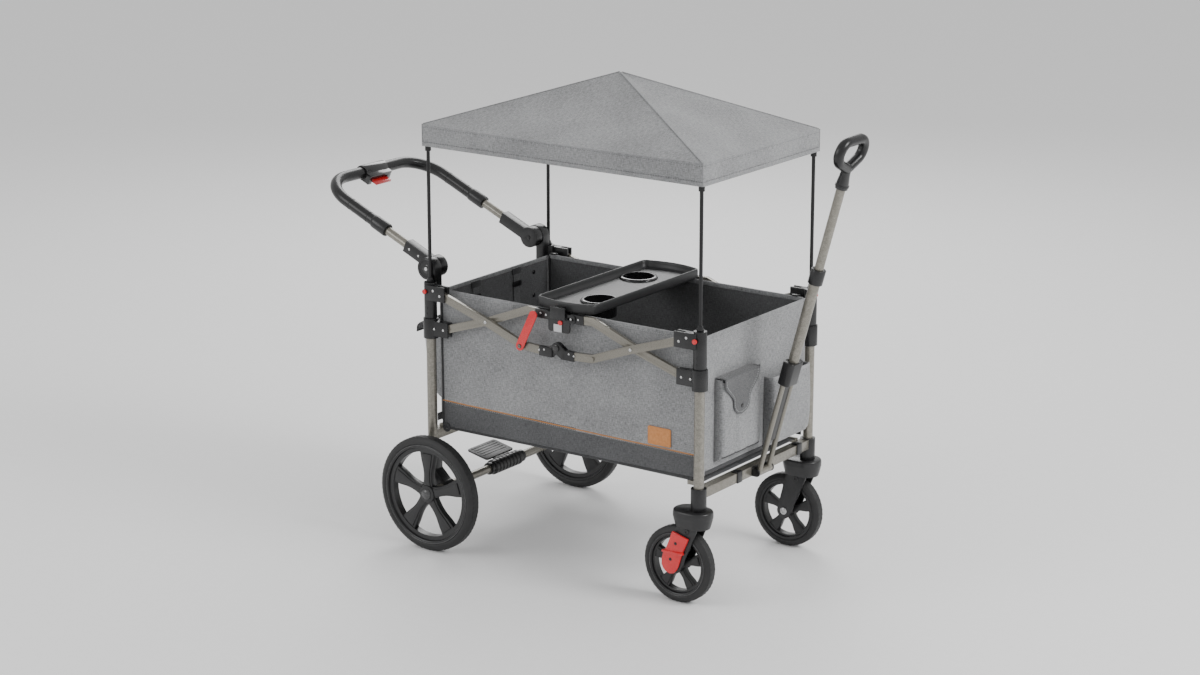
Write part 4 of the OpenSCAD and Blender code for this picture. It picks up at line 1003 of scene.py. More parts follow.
rivets("bracket_pins", "centre_brackets", both_sides(
    [((-0.037, 0.2562, 0.650), OUT_Y), ((0.037, 0.2562, 0.650), OUT_Y)]), steel, 0.003, 0.4)
rivets("lock_link_rivet", "fold_lock", [((-0.106, -0.2716, 0.564), (0, -1, 0))], black_plastic, 0.0058, 0.35)
rivets("paddle_rivets", "push_handle_lower",
       both_sides([((-0.422 - 0.9135 * d, 0.2112, 0.705 + 0.4067 * d), OUT_Y) for d in (0.052, 0.084)]),
       steel, 0.0034, 0.35)
rivets("hinge_bolts", "rear_frame", both_sides([((-0.422, 0.238, 0.705), OUT_Y)]), gloss_black, 0.0125, 0.2)
rivets("hinge_screws", "rear_frame", both_sides([((-0.422, 0.2402, 0.705), OUT_Y)]), steel, 0.005, 0.25)

# hub discs on the hinge of the push handle
for s in (-1, 1):
    line = [(0.0, 0.0), (0.0262, 0.0), (0.0262, 0.001), (0.024, 0.0022), (0.0205, 0.0022), (0.0195, 0.001),
            (0.0, 0.001)]
    settle(turned("hinge_hub_disc_" + ("near" if s < 0 else "far"), (-0.422, s * 0.238, 0.705), line,
                  black_plastic, (0, s, 0), 40), "rear_frame")

# flanges at the feet of the canopy's poles
for body, sx in (("canopy", -1), ("front_poles", 1)):
    pieces = []
    for sy in (-1, 1):
        line = [(0.0047, 0.0), (0.0085, 0.0), (0.009, 0.0012), (0.009, 0.0042), (0.0074, 0.0056),
                (0.0066, 0.011), (0.0047, 0.012)]
        pieces.append(turned("pole_foot", (sx * POST_X, sy * CASTOR_Y, 0.6774), line, black_plastic,
                             (0, 0, 1), 24, True))
    settle(join(("rear" if sx < 0 else "front") + "_pole_feet", pieces), body)

# brake: ribbed pod round the axle and the flat pedal behind it
REAR_AXLE = (-0.364, 0, 0.148)
pod = []
for i in range(9):
    y = -0.056 + 0.014 * i
    pod += [(0.0172, y + 0.0005), (0.0195, y + 0.002), (0.0195, y + 0.0105), (0.0172, y + 0.012)]
pod = [(0.0112, -0.058), (0.0165, -0.058)] + [p for p in pod
                                              if p[1] < 0.0575] + [(0.0165, 0.058), (0.0112, 0.058)]
pod_piece = turned("pod", REAR_AXLE, pod, black_plastic, (0, 1, 0), 40, True)
tilt = math.radians(12)
plate = [(along - 0.052, across) for along, across in oval_section(0.034, 0.0575, 0.008, 4)]
pedal = slab("pedal_plate", plate, (0, 0, 1), 0.0120, 0.0168, pedal_paint, 0.0012, ((1, 0, 0), (0, 1, 0)))
grip_rows = []
for i in range(5):
    grip_rows.append(block("pedal_rib", (-0.080 + 0.010 * i, -0.048, 0.0162),
                           (-0.076 + 0.010 * i, 0.048, 0.0178), pedal_paint, 0.0006))
web = block("pedal_web", (-0.040, -0.030, 0.010), (-0.004, 0.030, 0.0150), pedal_paint, 0.001)
pedal = join("pedal", [pedal, web] + grip_rows)
pedal.data.transform(Matrix.Translation(REAR_AXLE) @ Matrix.Rotation(tilt, 4, "Y"))
settle(join("brake_pedal_and_pod", [pod_piece, pedal]), "brake", "brake_pedal")

# %% [markdown]
# ## Push handle
# The bow is one thick tube with a smooth padded skin: two legs, two bends and a crossbar. It
# follows the machined tube exactly, with a thicker collar on each leg.

# %% Push handle
RISE = math.radians(24)
ARM = Vector((-math.cos(RISE), 0, math.sin(RISE)))
ACROSS = Vector((0, 1, 0))
PIVOT = Vector((-0.422, 0, 0.705))


def on_handle(reach, y):
    return PIVOT + ARM * reach + ACROSS * y


bow = [on_handle(0.170, -0.198), on_handle(0.24, -0.198)]
bow += arc(on_handle(0.318, -0.108), 0.090, 0, 90, (-ACROSS, ARM), 14)
bow += [on_handle(0.408, y) for y in (-0.07, 0.0, 0.07)]
bow += arc(on_handle(0.318, 0.108), 0.090, 90, 0, (ACROSS, ARM), 14)
bow += [on_handle(0.24, 0.198), on_handle(0.170, 0.198)]
bow_tube = sweep("bow_tube", bow, circle_section(0.015, 28), foam_skin, (0, 0, 1))
collars = []
for s in (-1, 1):
    line = [(0.0145, 0.0), (0.0168, 0.0006), (0.0174, 0.003), (0.0174, 0.043), (0.0168, 0.047),
            (0.0150, 0.050)]
    collars.append(turned("bow_collar", on_handle(0.1705, s * 0.198), line, black_plastic, ARM, 32))
    seam = [(0.0150, 0.0), (0.0156, 0.0008), (0.0150, 0.0016)]
    for reach in (0.300, 0.236):
        collars.append(turned("bow_seam", on_handle(reach, s * 0.198), seam, black_plastic, ARM, 32))
settle(join("push_handle_bow", [bow_tube] + collars), "push_handle_upper", "handle_bow")

# %% [markdown]
# ## Pull handle
# The grip is a closed loop of round bar, like a rounded triangle, standing on a tapered neck.
# Its centre line is built from two arcs and straight runs, then swept once, so it has no seams.

# %% Pull handle
LEAN = math.radians(15.4)
POLE = Vector((math.sin(LEAN), 0, math.cos(LEAN)))
POLE_FOOT = Vector((0.428, 0, 0.278))
neck_foot = POLE_FOOT + POLE * 0.752


def on_loop(y, rise):
    return neck_foot + POLE * rise + ACROSS * y


corner_y, corner_z, corner_r = 0.026, 0.090, 0.028
foot_z, foot_r = 0.066, 0.018
lean_out = math.degrees(math.atan2(corner_z - foot_z, corner_y)) - math.degrees(
    math.acos((foot_r - corner_r) / math.hypot(corner_y, corner_z - foot_z)))
right = [(foot_r * math.cos(math.radians(a)), foot_z + foot_r * math.sin(math.radians(a)))
         for a in [-90 + (lean_out + 90) * i / 5 for i in range(6)]]
right += [(corner_y + corner_r * math.cos(math.radians(a)), corner_z + corner_r * math.sin(math.radians(a)))
          for a in [lean_out + (90 - lean_out) * i / 16 for i in range(17)]]
line = right + [(-y, z) for y, z in reversed(right[1:])]
loop_path = [on_loop(y, z) for y, z in line]
loop_tube = sweep("loop_tube", loop_path, oval_section(0.0115, 0.0125, 0.0108, 6), foam_skin,
                  POLE.orthogonal(), True)
neck_line = [(0.0112, -0.004), (0.0152, -0.003), (0.0156, 0.002), (0.0150, 0.012), (0.0128, 0.026),
             (0.0118, 0.038), (0.0125, 0.052), (0.006, 0.060), (0.0, 0.060)]
neck = turned("neck", neck_foot, neck_line, gloss_black, POLE, 32)
ring_line = [(0.0155, 0.0), (0.0168, 0.0008), (0.0168, 0.0052), (0.0155, 0.006)]
neck_ring = turned("neck_ring", neck_foot + POLE * 0.002, ring_line, black_plastic, POLE, 32)
settle(join("pull_grip_loop", [loop_tube, neck, neck_ring]), "pull_handle_upper", "pull_grip")
filler_run = [POLE_FOOT + POLE * reach for reach in (0.085, 0.268)]
filler = sweep("fork_filler", filler_run, oval_section(0.0145, 0.0028, 0.002, 3), black_plastic, (1, 0, 0))
settle(join("fork_filler_strip", [filler]), "pull_handle_lower")
print("handles done")

# %% [markdown]
# ## Cloth basket
# The basket is sewn from flat cloth: two long sides, a front and a back. Each one is a thin
# grid of cloth with an outer and an inner finish, a hem, piping and a dark band, and a little
# swell between the places where it is held. Its map is in metres, so the weave keeps one scale.

# %% Cloth helpers
SIDE_Y = 0.226
SIDE_START, SIDE_RUN = -0.384, 0.777
WALL_TOP = 0.6575
print("long wall", SIDE_RUN, "m by", round(WALL_TOP - 0.296, 4), "m")


def crumple(obj):
    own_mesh(obj)


def side_bottom(x):
    return 0.296 + 0.008 * max(0, (x - SIDE_START) / SIDE_RUN)


def piping_z(x):
    return 0.369 - 0.004 * (x - SIDE_START) / SIDE_RUN


def side_swell(x, z, side):
    along = min(1, max(0, (x - SIDE_START) / SIDE_RUN))
    up = min(1, max(0, (z - 0.29) / 0.37))
    held = math.sin(math.pi * along) * math.sin(math.pi * up)
    return side * (0.0016 * held * (1 + puckers(x, z, 0.8, side * 3.1)) + 0.0007 * puckers(x, z, 2.6, side))


def band(name, points, half_width, thickness, finish, face=(0, 1, 0)):
    """A flat tape along a path, lying against a face."""
    tape = sweep(name, points, oval_section(half_width, thickness / 2, thickness * 0.45, 3), finish, face)
    return cloth_map(tape)


# %% Long sides
xs = [SIDE_START + SIDE_RUN * i / 40 for i in range(41)]
for label, side in (("near", -1), ("far", 1)):
    def side_surface(u, v):
        x = SIDE_START + SIDE_RUN * u
        z0 = side_bottom(x)
        z = z0 + (WALL_TOP - 0.002 - z0) * v
        return (x, side * SIDE_Y + side_swell(x, z, side), z)

    order = side_surface if side < 0 else (lambda u, v: side_surface(1 - u, v))
    wall = cloth_grid(label + "_side_cloth", order, 84, 40, grey_cloth, 0.0022, inner_cloth)
    wall.data.materials.append(slate_cloth)
    for p in wall.data.polygons:
        c = p.center
        if p.material_index == 0 and c.z < piping_z(c.x):
            p.material_index = 2
    outer = side * (SIDE_Y + 0.0012)
    hem = [(x, side * SIDE_Y + side_swell(x, 0.652, side), WALL_TOP - 0.0055) for x in xs]
    pieces = [band("hem", hem, 0.0058, 0.0044, grey_cloth, (0, side, 0))]
    foot = [(x, side * SIDE_Y + side_swell(x, side_bottom(x), side), side_bottom(x) + 0.003) for x in xs]
    pieces.append(band("foot", foot, 0.0038, 0.0036, binding_cloth, (0, side, 0)))
    cord_line = [(x, outer + side_swell(x, piping_z(x), side), piping_z(x)) for x in xs]
    pieces.append(cloth_map(sweep("piping", cord_line, circle_section(0.0015, 8), tan_piping)))
    for x in (-0.3825, 0.3915):
        zs = [side_bottom(x) + (WALL_TOP - 0.004 - side_bottom(x)) * i / 12 for i in range(13)]
        line = [(x, side * SIDE_Y + side_swell(x, z, side), z) for z in zs]
        pieces.append(band("end_binding", line, 0.0036, 0.0046, binding_cloth, (0, side, 0)))
    trims = join(label + "_side_trims", pieces)
    seams = []
    for dz, tone in ((0.0035, thread), (-0.0035, thread)):
        line = [(x, outer + side * 0.0002 + side_swell(x, piping_z(x), side), piping_z(x) + dz) for x in xs]
        seams.append(stitches("seam", line, tone))
    line = [(x, outer + side * 0.0013 + side_swell(x, 0.652, side), WALL_TOP - 0.0105) for x in xs]
    seams.append(stitches("hem_seam", line))
    seams = join(label + "_side_seams", seams)
    settle(wall, "rear_frame", *(["side_panels"] if side < 0 else []))
    settle(trims, "rear_frame")
    settle(seams, "rear_frame")
    for piece in (wall, trims, seams):
        crumple(piece)

# leather patch on the near side, with a plain border line
patch = slab("patch", [(0.278 + a, 0.3935 + b) for a, b in oval_section(0.033, 0.0225, 0.004, 4)], (0, 1, 0),
             -SIDE_Y - 0.0042, -SIDE_Y - 0.0016, leather, 0.0007)
border = [Vector((0.278 + a, -SIDE_Y - 0.0043, 0.3935 + b)) for a,
          b in oval_section(0.030, 0.0195, 0.003, 3)]
border.append(border[0])
patch_seam = stitches("patch_seam", border, tan_piping, 0.0035, 0.0012)
patch = join("leather_patch", [patch, patch_seam])
settle(patch, "rear_frame")
crumple(patch)

# %% [markdown]
# The short walls ride with their own ends of the frame. The back wall carries the harness
# straps inside; the front wall carries the pockets outside.

# %% Short walls
WALL_HALF = 0.2245


def end_wall(name, x, out, body, cad_name, bottom, top):
    def surface(u, v):
        y = WALL_HALF * (2 * u - 1) * out
        z = bottom + (top - bottom) * v
        held = math.sin(math.pi * u) * math.sin(math.pi * v)
        return (x + out * (0.0012 * held * (1 + puckers(y, z, 1.2, x)) + 0.0005 * puckers(y, z, 3.0, x)), y,
                z)

    wall = cloth_grid(name, surface, 48, 36, grey_cloth, 0.0026, inner_cloth)
    pieces = []
    ys = [WALL_HALF * (i / 10 - 1) for i in range(21)]
    pieces.append(band("hem", [(x, y, top - 0.0045) for y in ys], 0.0052, 0.0044, grey_cloth, (out, 0, 0)))
    pieces.append(band("foot", [(x, y, bottom + 0.005) for y in ys], 0.0055, 0.0042, binding_cloth,
                       (out, 0, 0)))
    for y in (-0.222, 0.222):
        line = [(x, y, bottom + (top - bottom) * i / 8) for i in range(9)]
        pieces.append(band("binding", line, 0.0034, 0.0048, edge_cloth, (out, 0, 0)))
        # wings of cloth sewn round the posts, with their seams
        s = 1 if y > 0 else -1
        reach = 0.2335 if out > 0 else 0.2415
        y0, y1 = sorted((s * (WALL_HALF - 0.001), s * reach))
        pieces.append(cloth_map(block("wing", (x - 0.0012, y0, bottom + 0.001),
                                      (x + 0.0012, y1, bottom + 0.0205), binding_cloth, 0.0006)))
    trims = join(name + "_trims", pieces)
    seam = stitches(name + "_seam", [(x + out * 0.0024, y, top - 0.0115) for y in ys])
    settle(wall, body, cad_name)
    settle(trims, body)
    settle(seam, body)


end_wall("rear_wall_cloth", -0.3892, -1, "rear_frame", "rear_panel", 0.3165, 0.6535)
end_wall("front_wall_cloth", 0.3998, 1, "front_frame", "front_panel", 0.3165, 0.6565)

straps = []
for y in (-0.085, 0.085):
    path = [(-0.3862, y, 0.640 - 0.02 * i) for i in range(15)]
    straps.append(band("harness", path, 0.0125, 0.0018, webbing, (1, 0, 0)))
    straps.append(block("harness_buckle", (-0.3862, y - 0.017, 0.498), (-0.3800, y + 0.017, 0.526),
                        black_plastic, 0.0022))
    straps.append(block("harness_slide", (-0.3862, y - 0.016, 0.600), (-0.3815, y + 0.016, 0.614),
                        black_plastic, 0.0016))
    straps.append(cloth_map(block("harness_anchor", (-0.3868, y - 0.018, 0.632), (-0.3845, y + 0.018, 0.648),
                                  binding_cloth, 0.0008)))
settle(join("harness_straps", straps), "rear_frame")
rivets("wall_snaps", "rear_frame", [((-0.3864, y, z), (1, 0, 0)) for y in (-0.16, 0.16)
                                    for z in (0.622, 0.56)], gloss_black, 0.0055, 0.3)

# bag bottom: a thin dark cloth under the boards
under = cloth_grid("bag_bottom_cloth", lambda u, v: (-0.386 + 0.772 * u, -0.2042 + 0.4084 * v,
                                                     0.2943 + 0.0006 * puckers(u, v, 1.0, 4)), 40, 20,
                                                     slate_cloth, 0.0016)
settle(under, "rear_frame", "bag_floor")
crumple(under)

# %% [markdown]
# ## Folding floor
# Two boards under a thin quilted cover carry the passengers. The cover is padded, so it swells a
# little between rows of stitching.

# %% Floor boards
for label, x0, x1, half_y in (("rear", -0.358, -0.0003, 0.2085), ("front", 0.0003, 0.358, 0.2155)):
    boards = softened(label + "_floor_board", slate_cloth, 0.0012)
    cloth_map(boards)
    settle(boards, "floor_" + label, label + "_floor_board")
    span = x1 - x0 - 0.006

    def pad_surface(u, v, x_start=x0 + 0.003, width=span, reach=half_y):
        x = x_start + width * u
        y = reach * (2 * v - 1)
        rows = abs(math.sin(math.pi * u * 4)) * abs(math.sin(math.pi * v * 5))
        edge = min(1, 14 * u, 14 * (1 - u), 16 * v, 16 * (1 - v))
        return (x, y, 0.3162 + 0.0034 * edge * (0.35 + 0.65 * rows ** 0.4))

    top = cloth_grid("pad", pad_surface, 64, 80, inner_cloth, 0.0008)
    edge_line = [(x, y, 0.3168) for x, y in ((x0 + 0.003, -half_y), (x1 - 0.003, -half_y),
                                             (x1 - 0.003, half_y), (x0 + 0.003, half_y))]
    welt = cloth_map(sweep("welt", edge_line, circle_section(0.0016, 8), binding_cloth, (0, 0, 1), True))
    pad = join(label + "_floor_pad", [top, welt])
    settle(pad, "floor_" + label)

# %% [markdown]
# ## Canopy
# The roof is one continuous sheet: a low pyramid held up along four ridges, dipping slightly
# between them, and hanging as a straight valance from the eaves. Rings of points run from the
# peak to the eaves and on down the valance, so the cloth is never split.

# %% Canopy cloth
EAVE_Z = 1.0760
PEAK = 0.1352
HALF_X, HALF_Y = 0.4128, 0.2558
ROUND_SIDES = 40
RINGS = 26
DROP = 0.0548
DROP_ROWS = 8


def eave_point(k):
    """Point k of a walk round the eaves, with how far along its side it is."""
    quarter, step = divmod(k, ROUND_SIDES)
    s = step / ROUND_SIDES
    corners = [(-1, -1), (1, -1), (1, 1), (-1, 1)]
    (ax, ay), (bx, by) = corners[quarter % 4], corners[(quarter + 1) % 4]
    return (ax + (bx - ax) * s) * HALF_X, (ay + (by - ay) * s) * HALF_Y, s


walk = [eave_point(k) for k in range(4 * ROUND_SIDES)]
verts, faces = [(0, 0, EAVE_Z + PEAK - 0.0015)], []
for r in range(1, RINGS + 1):
    t = r / RINGS
    for k, (x, y, s) in enumerate(walk):
        between = math.sin(math.pi * s)
        dip = 0.010 * math.sin(math.pi * t ** 0.9) * between ** 1.3 + 0.0035 * t ** 6 * between
        ripple = 0.0010 * puckers(x * t, y * t, 0.9, 2.0) * between * math.sin(math.pi * t)
        verts.append((x * t, y * t, EAVE_Z + PEAK * (1 - t) - dip + ripple))
for r in range(1, DROP_ROWS + 1):
    t = r / DROP_ROWS
    for k, (x, y, s) in enumerate(walk):
        quarter = k // ROUND_SIDES
        nx, ny = ((0, -1), (1, 0), (0, 1), (-1, 0))[quarter]
        if s == 0:
            nx, ny = [0.7 * c for c in ((-1, -1), (1, -1), (1, 1), (-1, 1))[quarter]]
        between = math.sin(math.pi * s)
        wave = (0.0010 * between + 0.0009 * between * math.sin(s * 21 + quarter * 2.1)) * t
        low = 0.0035 * between * (1 - t)
        verts.append((x + nx * wave, y + ny * wave, EAVE_Z - low - DROP * t))
n = len(walk)
faces += [(0, 1 + k, 1 + (k + 1) % n) for k in range(n)]
for r in range(RINGS + DROP_ROWS - 1):
    for k in range(n):
        a, b = 1 + r * n + k, 1 + r * n + (k + 1) % n
        faces.append((a, a + n, b + n, b))
canopy = mesh_piece("canopy_cloth", verts, faces, canopy_cloth)
outward(canopy)
thick = canopy.modifiers.new("thick", "SOLIDIFY")
thick.thickness = 0.0016
thick.offset = -1
apply_modifiers(canopy)
cloth_map(canopy)
sharp_shade(canopy, 28)
settle(canopy, "canopy", "canopy_top")

pieces = []
for sx, sy in ((-1, -1), (1, -1), (1, 1), (-1, 1)):
    ridge = [(sx * HALF_X * t, sy * HALF_Y * t, EAVE_Z + PEAK * (1 - t) + 0.0004)
             for t in [0.01 + 0.985 * i / 24 for i in range(25)]]
    pieces.append(cloth_map(sweep("ridge", ridge, oval_section(0.0022, 0.0008, 0.0007, 3), canopy_cloth)))
    drop = [(sx * HALF_X, sy * HALF_Y, EAVE_Z - DROP * t) for t in (0, 0.5, 0.985)]
    pieces.append(cloth_map(sweep("corner", drop, circle_section(0.0013, 8), canopy_cloth, (1, 0, 0))))
hem_loop = [(x, y, EAVE_Z - DROP + 0.005) for x, y, s in walk[::4]]
hem_line = hem_loop + [hem_loop[0]]
hem = []
for a, b in ((0, 1), (1, 2), (2, 3), (3, 4)):
    per = ROUND_SIDES // 4
    side_points = [Vector(p) for p in hem_line[a * per:b * per + 1]]
    nx, ny = ((0, -1), (1, 0), (0, 1), (-1, 0))[a]
    hem.append(cloth_map(sweep("hem", [p + Vector((nx, ny, 0)) * 0.0006 for p in side_points],
                               oval_section(0.0052, 0.0010, 0.0009, 3), canopy_cloth, (nx, ny, 0))))
    seam = [p + Vector((nx * 0.0019, ny * 0.0019, 0.0062)) for p in side_points]
    pieces.append(stitches("hem_seam", seam, slate_cloth, 0.007, 0.0018))
    top_seam = [p + Vector((nx * 0.0004, ny * 0.0004, DROP - 0.0125)) for p in side_points]
    pieces.append(stitches("eave_seam", top_seam, slate_cloth, 0.007, 0.0018))
canopy_trims = join("canopy_trims", pieces + hem)
settle(canopy_trims, "canopy")
ribs = settle(softened("canopy_ribs", rib_rod, 0.0005), "canopy", "canopy_ribs")
for piece in (canopy, canopy_trims, ribs):
    crumple(piece)

# %% [markdown]
# ## Storage bag, lid and straps
# The bag behind the basket is a pouch whose back bulges and whose ends draw in. It is lofted: a
# drop-shaped side profile is repeated across the wagon and squeezed towards the panel near the
# ends, so the shell closes by itself with soft corners.

# %% Storage bag
PANEL_X = -0.3912
BAG_HALF = 0.1755
LID_HINGE = (-0.395, 0.585)
LID_SLOPE = 50 / 108
bag_profile = [(0.002, 0.3495), (0.030, 0.3500), (0.048, 0.3530), (0.064, 0.3630), (0.076, 0.3760),
               (0.0845, 0.3940), (0.0910, 0.4150), (0.0955, 0.4400), (0.0990, 0.4700), (0.1020, 0.5000),
               (0.1045, 0.5200), (0.1060, 0.5320)]


def bag_pull(v):
    """How far the bag keeps its depth at v from -1 to 1 across the wagon."""
    return max(0.0, 1 - abs(v) ** 14) ** (1 / 10)


def lid_height(x):
    return LID_HINGE[1] + (x - LID_HINGE[0]) * LID_SLOPE


rows = []
for i in range(49):
    v = math.sin(math.pi / 2 * (-1 + 2 * i / 48))
    keep = bag_pull(v)
    row = []
    for j, (depth, z) in enumerate(bag_profile):
        sag = 0.0035 * puckers(v * 0.2, z, 1.4, 5.0) * math.sin(math.pi * min(1, j / 10))
        droop = -0.004 * (1 - v * v) * (1 - j / 11)
        x = PANEL_X - max(0.0006, (depth + 0.0012 * sag / 0.0035) * keep)
        z_here = z + droop * 0.4
        if j == len(bag_profile) - 1:
            z_here = lid_height(x) - 0.0042
        row.append((x, v * BAG_HALF, z_here))
    rows.append(row)
across, up = len(rows), len(bag_profile)
bag = mesh_piece("storage_pouch", [p for row in rows for p in row],
                 [(i * up + j, i * up + j + 1, (i + 1) * up + j + 1, (i + 1) * up + j)
                  for i in range(across - 1) for j in range(up - 1)], grey_cloth)
smooth = bag.modifiers.new("smooth", "SUBSURF")
smooth.levels = smooth.render_levels = 1
thick = bag.modifiers.new("thick", "SOLIDIFY")
thick.thickness = 0.0022
thick.offset = 0
bag.data.materials.append(inner_cloth)
thick.material_offset = 1
thick.material_offset_rim = 0
apply_modifiers(bag)
cloth_map(bag)
lip = [rows[i][-1] for i in range(2, across - 2)]
bag_lip = band("bag_lip", lip, 0.0018, 0.0042, binding_cloth, (0, 0, 1))
base = [rows[i][3] for i in range(3, across - 3)]
bag_seam = cloth_map(sweep("bag_seam", [(x - 0.0012, y, z) for x, y, z in base], circle_section(0.0014, 8),
                           binding_cloth))
bag_trims = join("storage_pouch_trims", [bag_lip, bag_seam])
settle(bag, "rear_frame", "storage_bag")
settle(bag_trims, "rear_frame")

# lid: a sloping flap that turns down over the pouch's back
lid_path = [(-0.3952, 0.5865), (-0.418, 0.5765), (-0.442, 0.5655), (-0.466, 0.5545), (-0.486, 0.5452),
            (-0.498, 0.5392), (-0.5042, 0.5335), (-0.5062, 0.5270), (-0.5066, 0.5185)]


def lid_surface(u, v):
    t = v * (len(lid_path) - 1)
    k = min(int(t), len(lid_path) - 2)
    f = t - k
    x = lid_path[k][0] + (lid_path[k + 1][0] - lid_path[k][0]) * f
    z = lid_path[k][1] + (lid_path[k + 1][1] - lid_path[k][1]) * f
    y = BAG_HALF * (1 - 2 * u)
    swell = 0.0012 * math.sin(math.pi * v) * (0.6 + puckers(y, x, 1.2, 7.0))
    return (x - 0.0004, y, z + swell)


lid = cloth_grid("storage_lid_cloth", lid_surface, 56, 24, grey_cloth, 0.0022, inner_cloth)
lid.data.materials.append(pale_band)
for p in lid.data.polygons:
    if p.material_index == 0 and p.center.x > -0.418:
        p.material_index = 2
edges = []
for v in (0.004, 0.996):
    edges.append(band("lid_edge", [lid_surface(i / 20, v) for i in range(21)], 0.0022, 0.0042, binding_cloth,
                      (0, 0, 1) if v < 0.5 else (1, 0, 0)))
for u in (0.004, 0.996):
    edges.append(sweep("lid_side", [lid_surface(u, i / 16) for i in range(17)], circle_section(0.0021, 8),
                       binding_cloth, (0, 1, 0)))
    cloth_map(edges[-1])
lid_trims = join("storage_lid_trims", edges)
lid_straps = []
for y in (-0.095, 0.095):
    over = [(lid_surface(0.5, v)[0], y, lid_surface(0.5, v)[2] + 0.0022) for v in (0.30, 0.45, 0.60, 0.72)]
    over += [(-0.5060, y, 0.5385), (-0.5092, y, 0.5290), (-0.5098, y, 0.5150), (-0.5098, y, 0.4900),
             (-0.5092, y, 0.4640)]
    lid_straps.append(sweep("lid_strap", over, oval_section(0.011, 0.0011, 0.0008, 3), brown_leather,
                            (0, 0, 1)))
    lid_straps.append(block("strap_buckle", (-0.5135, y - 0.0145, 0.497), (-0.5088, y + 0.0145, 0.513),
                            steel, 0.0014))
    lid_straps.append(sweep("strap_tail", [(-0.5108, y + 0.004, 0.500), (-0.5112, y + 0.005, 0.480),
                                           (-0.5106, y + 0.006, 0.462)],
                                           oval_section(0.008, 0.0009, 0.0007, 3), brown_leather, (1, 0, 0)))
lid_straps = join("storage_lid_straps", lid_straps)
settle(lid, "storage_lid", "storage_lid")
settle(lid_trims, "storage_lid")
settle(lid_straps, "storage_lid")

# %% [markdown]
# ## Front pockets
# The near pocket is a box pocket with a box pleat and a flap that narrows to a round tongue.
# The far one is open, gathered at the mouth by elastic, and bulges below it.

# %% Front pockets
WALL_X = 0.4022


def pocket_shell(name, y0, y1, z0, z1, depth_at, finish):
    rows = []
    steps, levels = 40, 20
    for i in range(steps + 1):
        v = math.sin(math.pi / 2 * (-1 + 2 * i / steps))
        keep = max(0.0, 1 - abs(v) ** 10) ** (1 / 7)
        for j in range(levels + 1):
            t = j / levels
            z = z0 + (z1 - z0) * t
            x = WALL_X + 0.0006 + max(0.0, depth_at(v, t)) * keep
            rows.append((x, (y0 + y1) / 2 + v * (y1 - y0) / 2, z))
    faces = [(i * (levels + 1) + j, (i + 1) * (levels + 1) + j, (i + 1) * (levels + 1) + j + 1,
              i * (levels + 1) + j + 1) for i in range(steps) for j in range(levels)]
    made = mesh_piece(name, rows, faces, finish)
    thick = made.modifiers.new("thick", "SOLIDIFY")
    thick.thickness = 0.002
    thick.offset = 0
    made.data.materials.append(inner_cloth)
    thick.material_offset = 1
    thick.material_offset_rim = 0
    return cloth_map(apply_modifiers(made))


def near_depth(v, t):
    foot = min(1, (t * 14) ** 0.5) if t > 0 else 0.0
    pleat = 0.0030 * math.exp(-((abs(v) - 0.30) / 0.035) ** 2)
    swell = 0.0015 * puckers(v * 0.1, t * 0.2, 1.6, 11.0)
    return foot * (0.0238 + 0.0015 * math.sin(math.pi * t) - pleat + swell)


def far_depth(v, t):
    foot = min(1, (t * 9) ** 0.5) if t > 0 else 0.0
    swell = 0.0016 * puckers(v * 0.12, t * 0.25, 1.5, 12.0)
    gather = 0.0007 * math.sin(v * 46) * max(0, t - 0.78) / 0.22
    return foot * (0.0255 + 0.0065 * math.sin(math.pi * min(1, t * 0.9)) + swell + gather)


NEAR_POCKET = (-0.180, -0.014, 0.3405, 0.5445)
FAR_POCKET = (0.0375, 0.2095, 0.3205, 0.4995)
near_pocket = pocket_shell("near_pocket_cloth", *NEAR_POCKET, near_depth, grey_cloth)
far_pocket = pocket_shell("far_pocket_cloth", *FAR_POCKET, far_depth, grey_cloth)
trims = []
for (y0, y1, z0, z1), depth, edging in ((NEAR_POCKET, near_depth, binding_cloth),
                                        (FAR_POCKET, far_depth, edge_cloth)):
    mid, half = (y0 + y1) / 2, (y1 - y0) / 2
    mouth, foot = [], []
    for i in range(3, 38):
        v = math.sin(math.pi / 2 * (-1 + 2 * i / 40))
        keep = max(0.0, 1 - abs(v) ** 10) ** (1 / 7)
        mouth.append((WALL_X + 0.0006 + depth(v, 1.0) * keep, mid + v * half, z1 - 0.002))
        foot.append((WALL_X + 0.0014 + depth(v, 0.06) * keep, mid + v * half, z0 + (z1 - z0) * 0.06))
    trims.append(band("mouth", mouth, 0.0045, 0.0038, edging, (1, 0, 0)))
    trims.append(cloth_map(sweep("foot_piping", foot, circle_section(0.0014, 8), edging)))
# fold lines of the box pleat
for v in (-0.30, 0.30):
    line = [(WALL_X + 0.0012 + near_depth(v, t), -0.097 + v * 0.083, 0.3405 + 0.204 * t)
            for t in [0.06 + 0.9 * i / 12 for i in range(13)]]
    trims.append(cloth_map(sweep("pleat", line, circle_section(0.0009, 6), slate_cloth)))
pocket_trims = join("front_pocket_trims", trims)
settle(near_pocket, "front_frame", "front_pockets")
settle(far_pocket, "front_frame")
settle(pocket_trims, "front_frame")

FLAP_Y0, FLAP_Y1 = -0.180, -0.0315
FLAP_RUN = 0.130


def flap_width(t):
    """Half-width of the flap at t from the hinge to the tip: full, then an easy S into a round tongue."""
    full = (FLAP_Y1 - FLAP_Y0) / 2 - 0.001
    tongue = 0.034
    if t < 0.36:
        return full
    if t < 0.74:
        k = (t - 0.36) / 0.38
        return full - (full - tongue) * (3 * k * k - 2 * k ** 3)
    k = (t - 0.74) / 0.26
    return tongue * math.sqrt(max(0.0, 1 - k ** 2.4)) + 0.0006


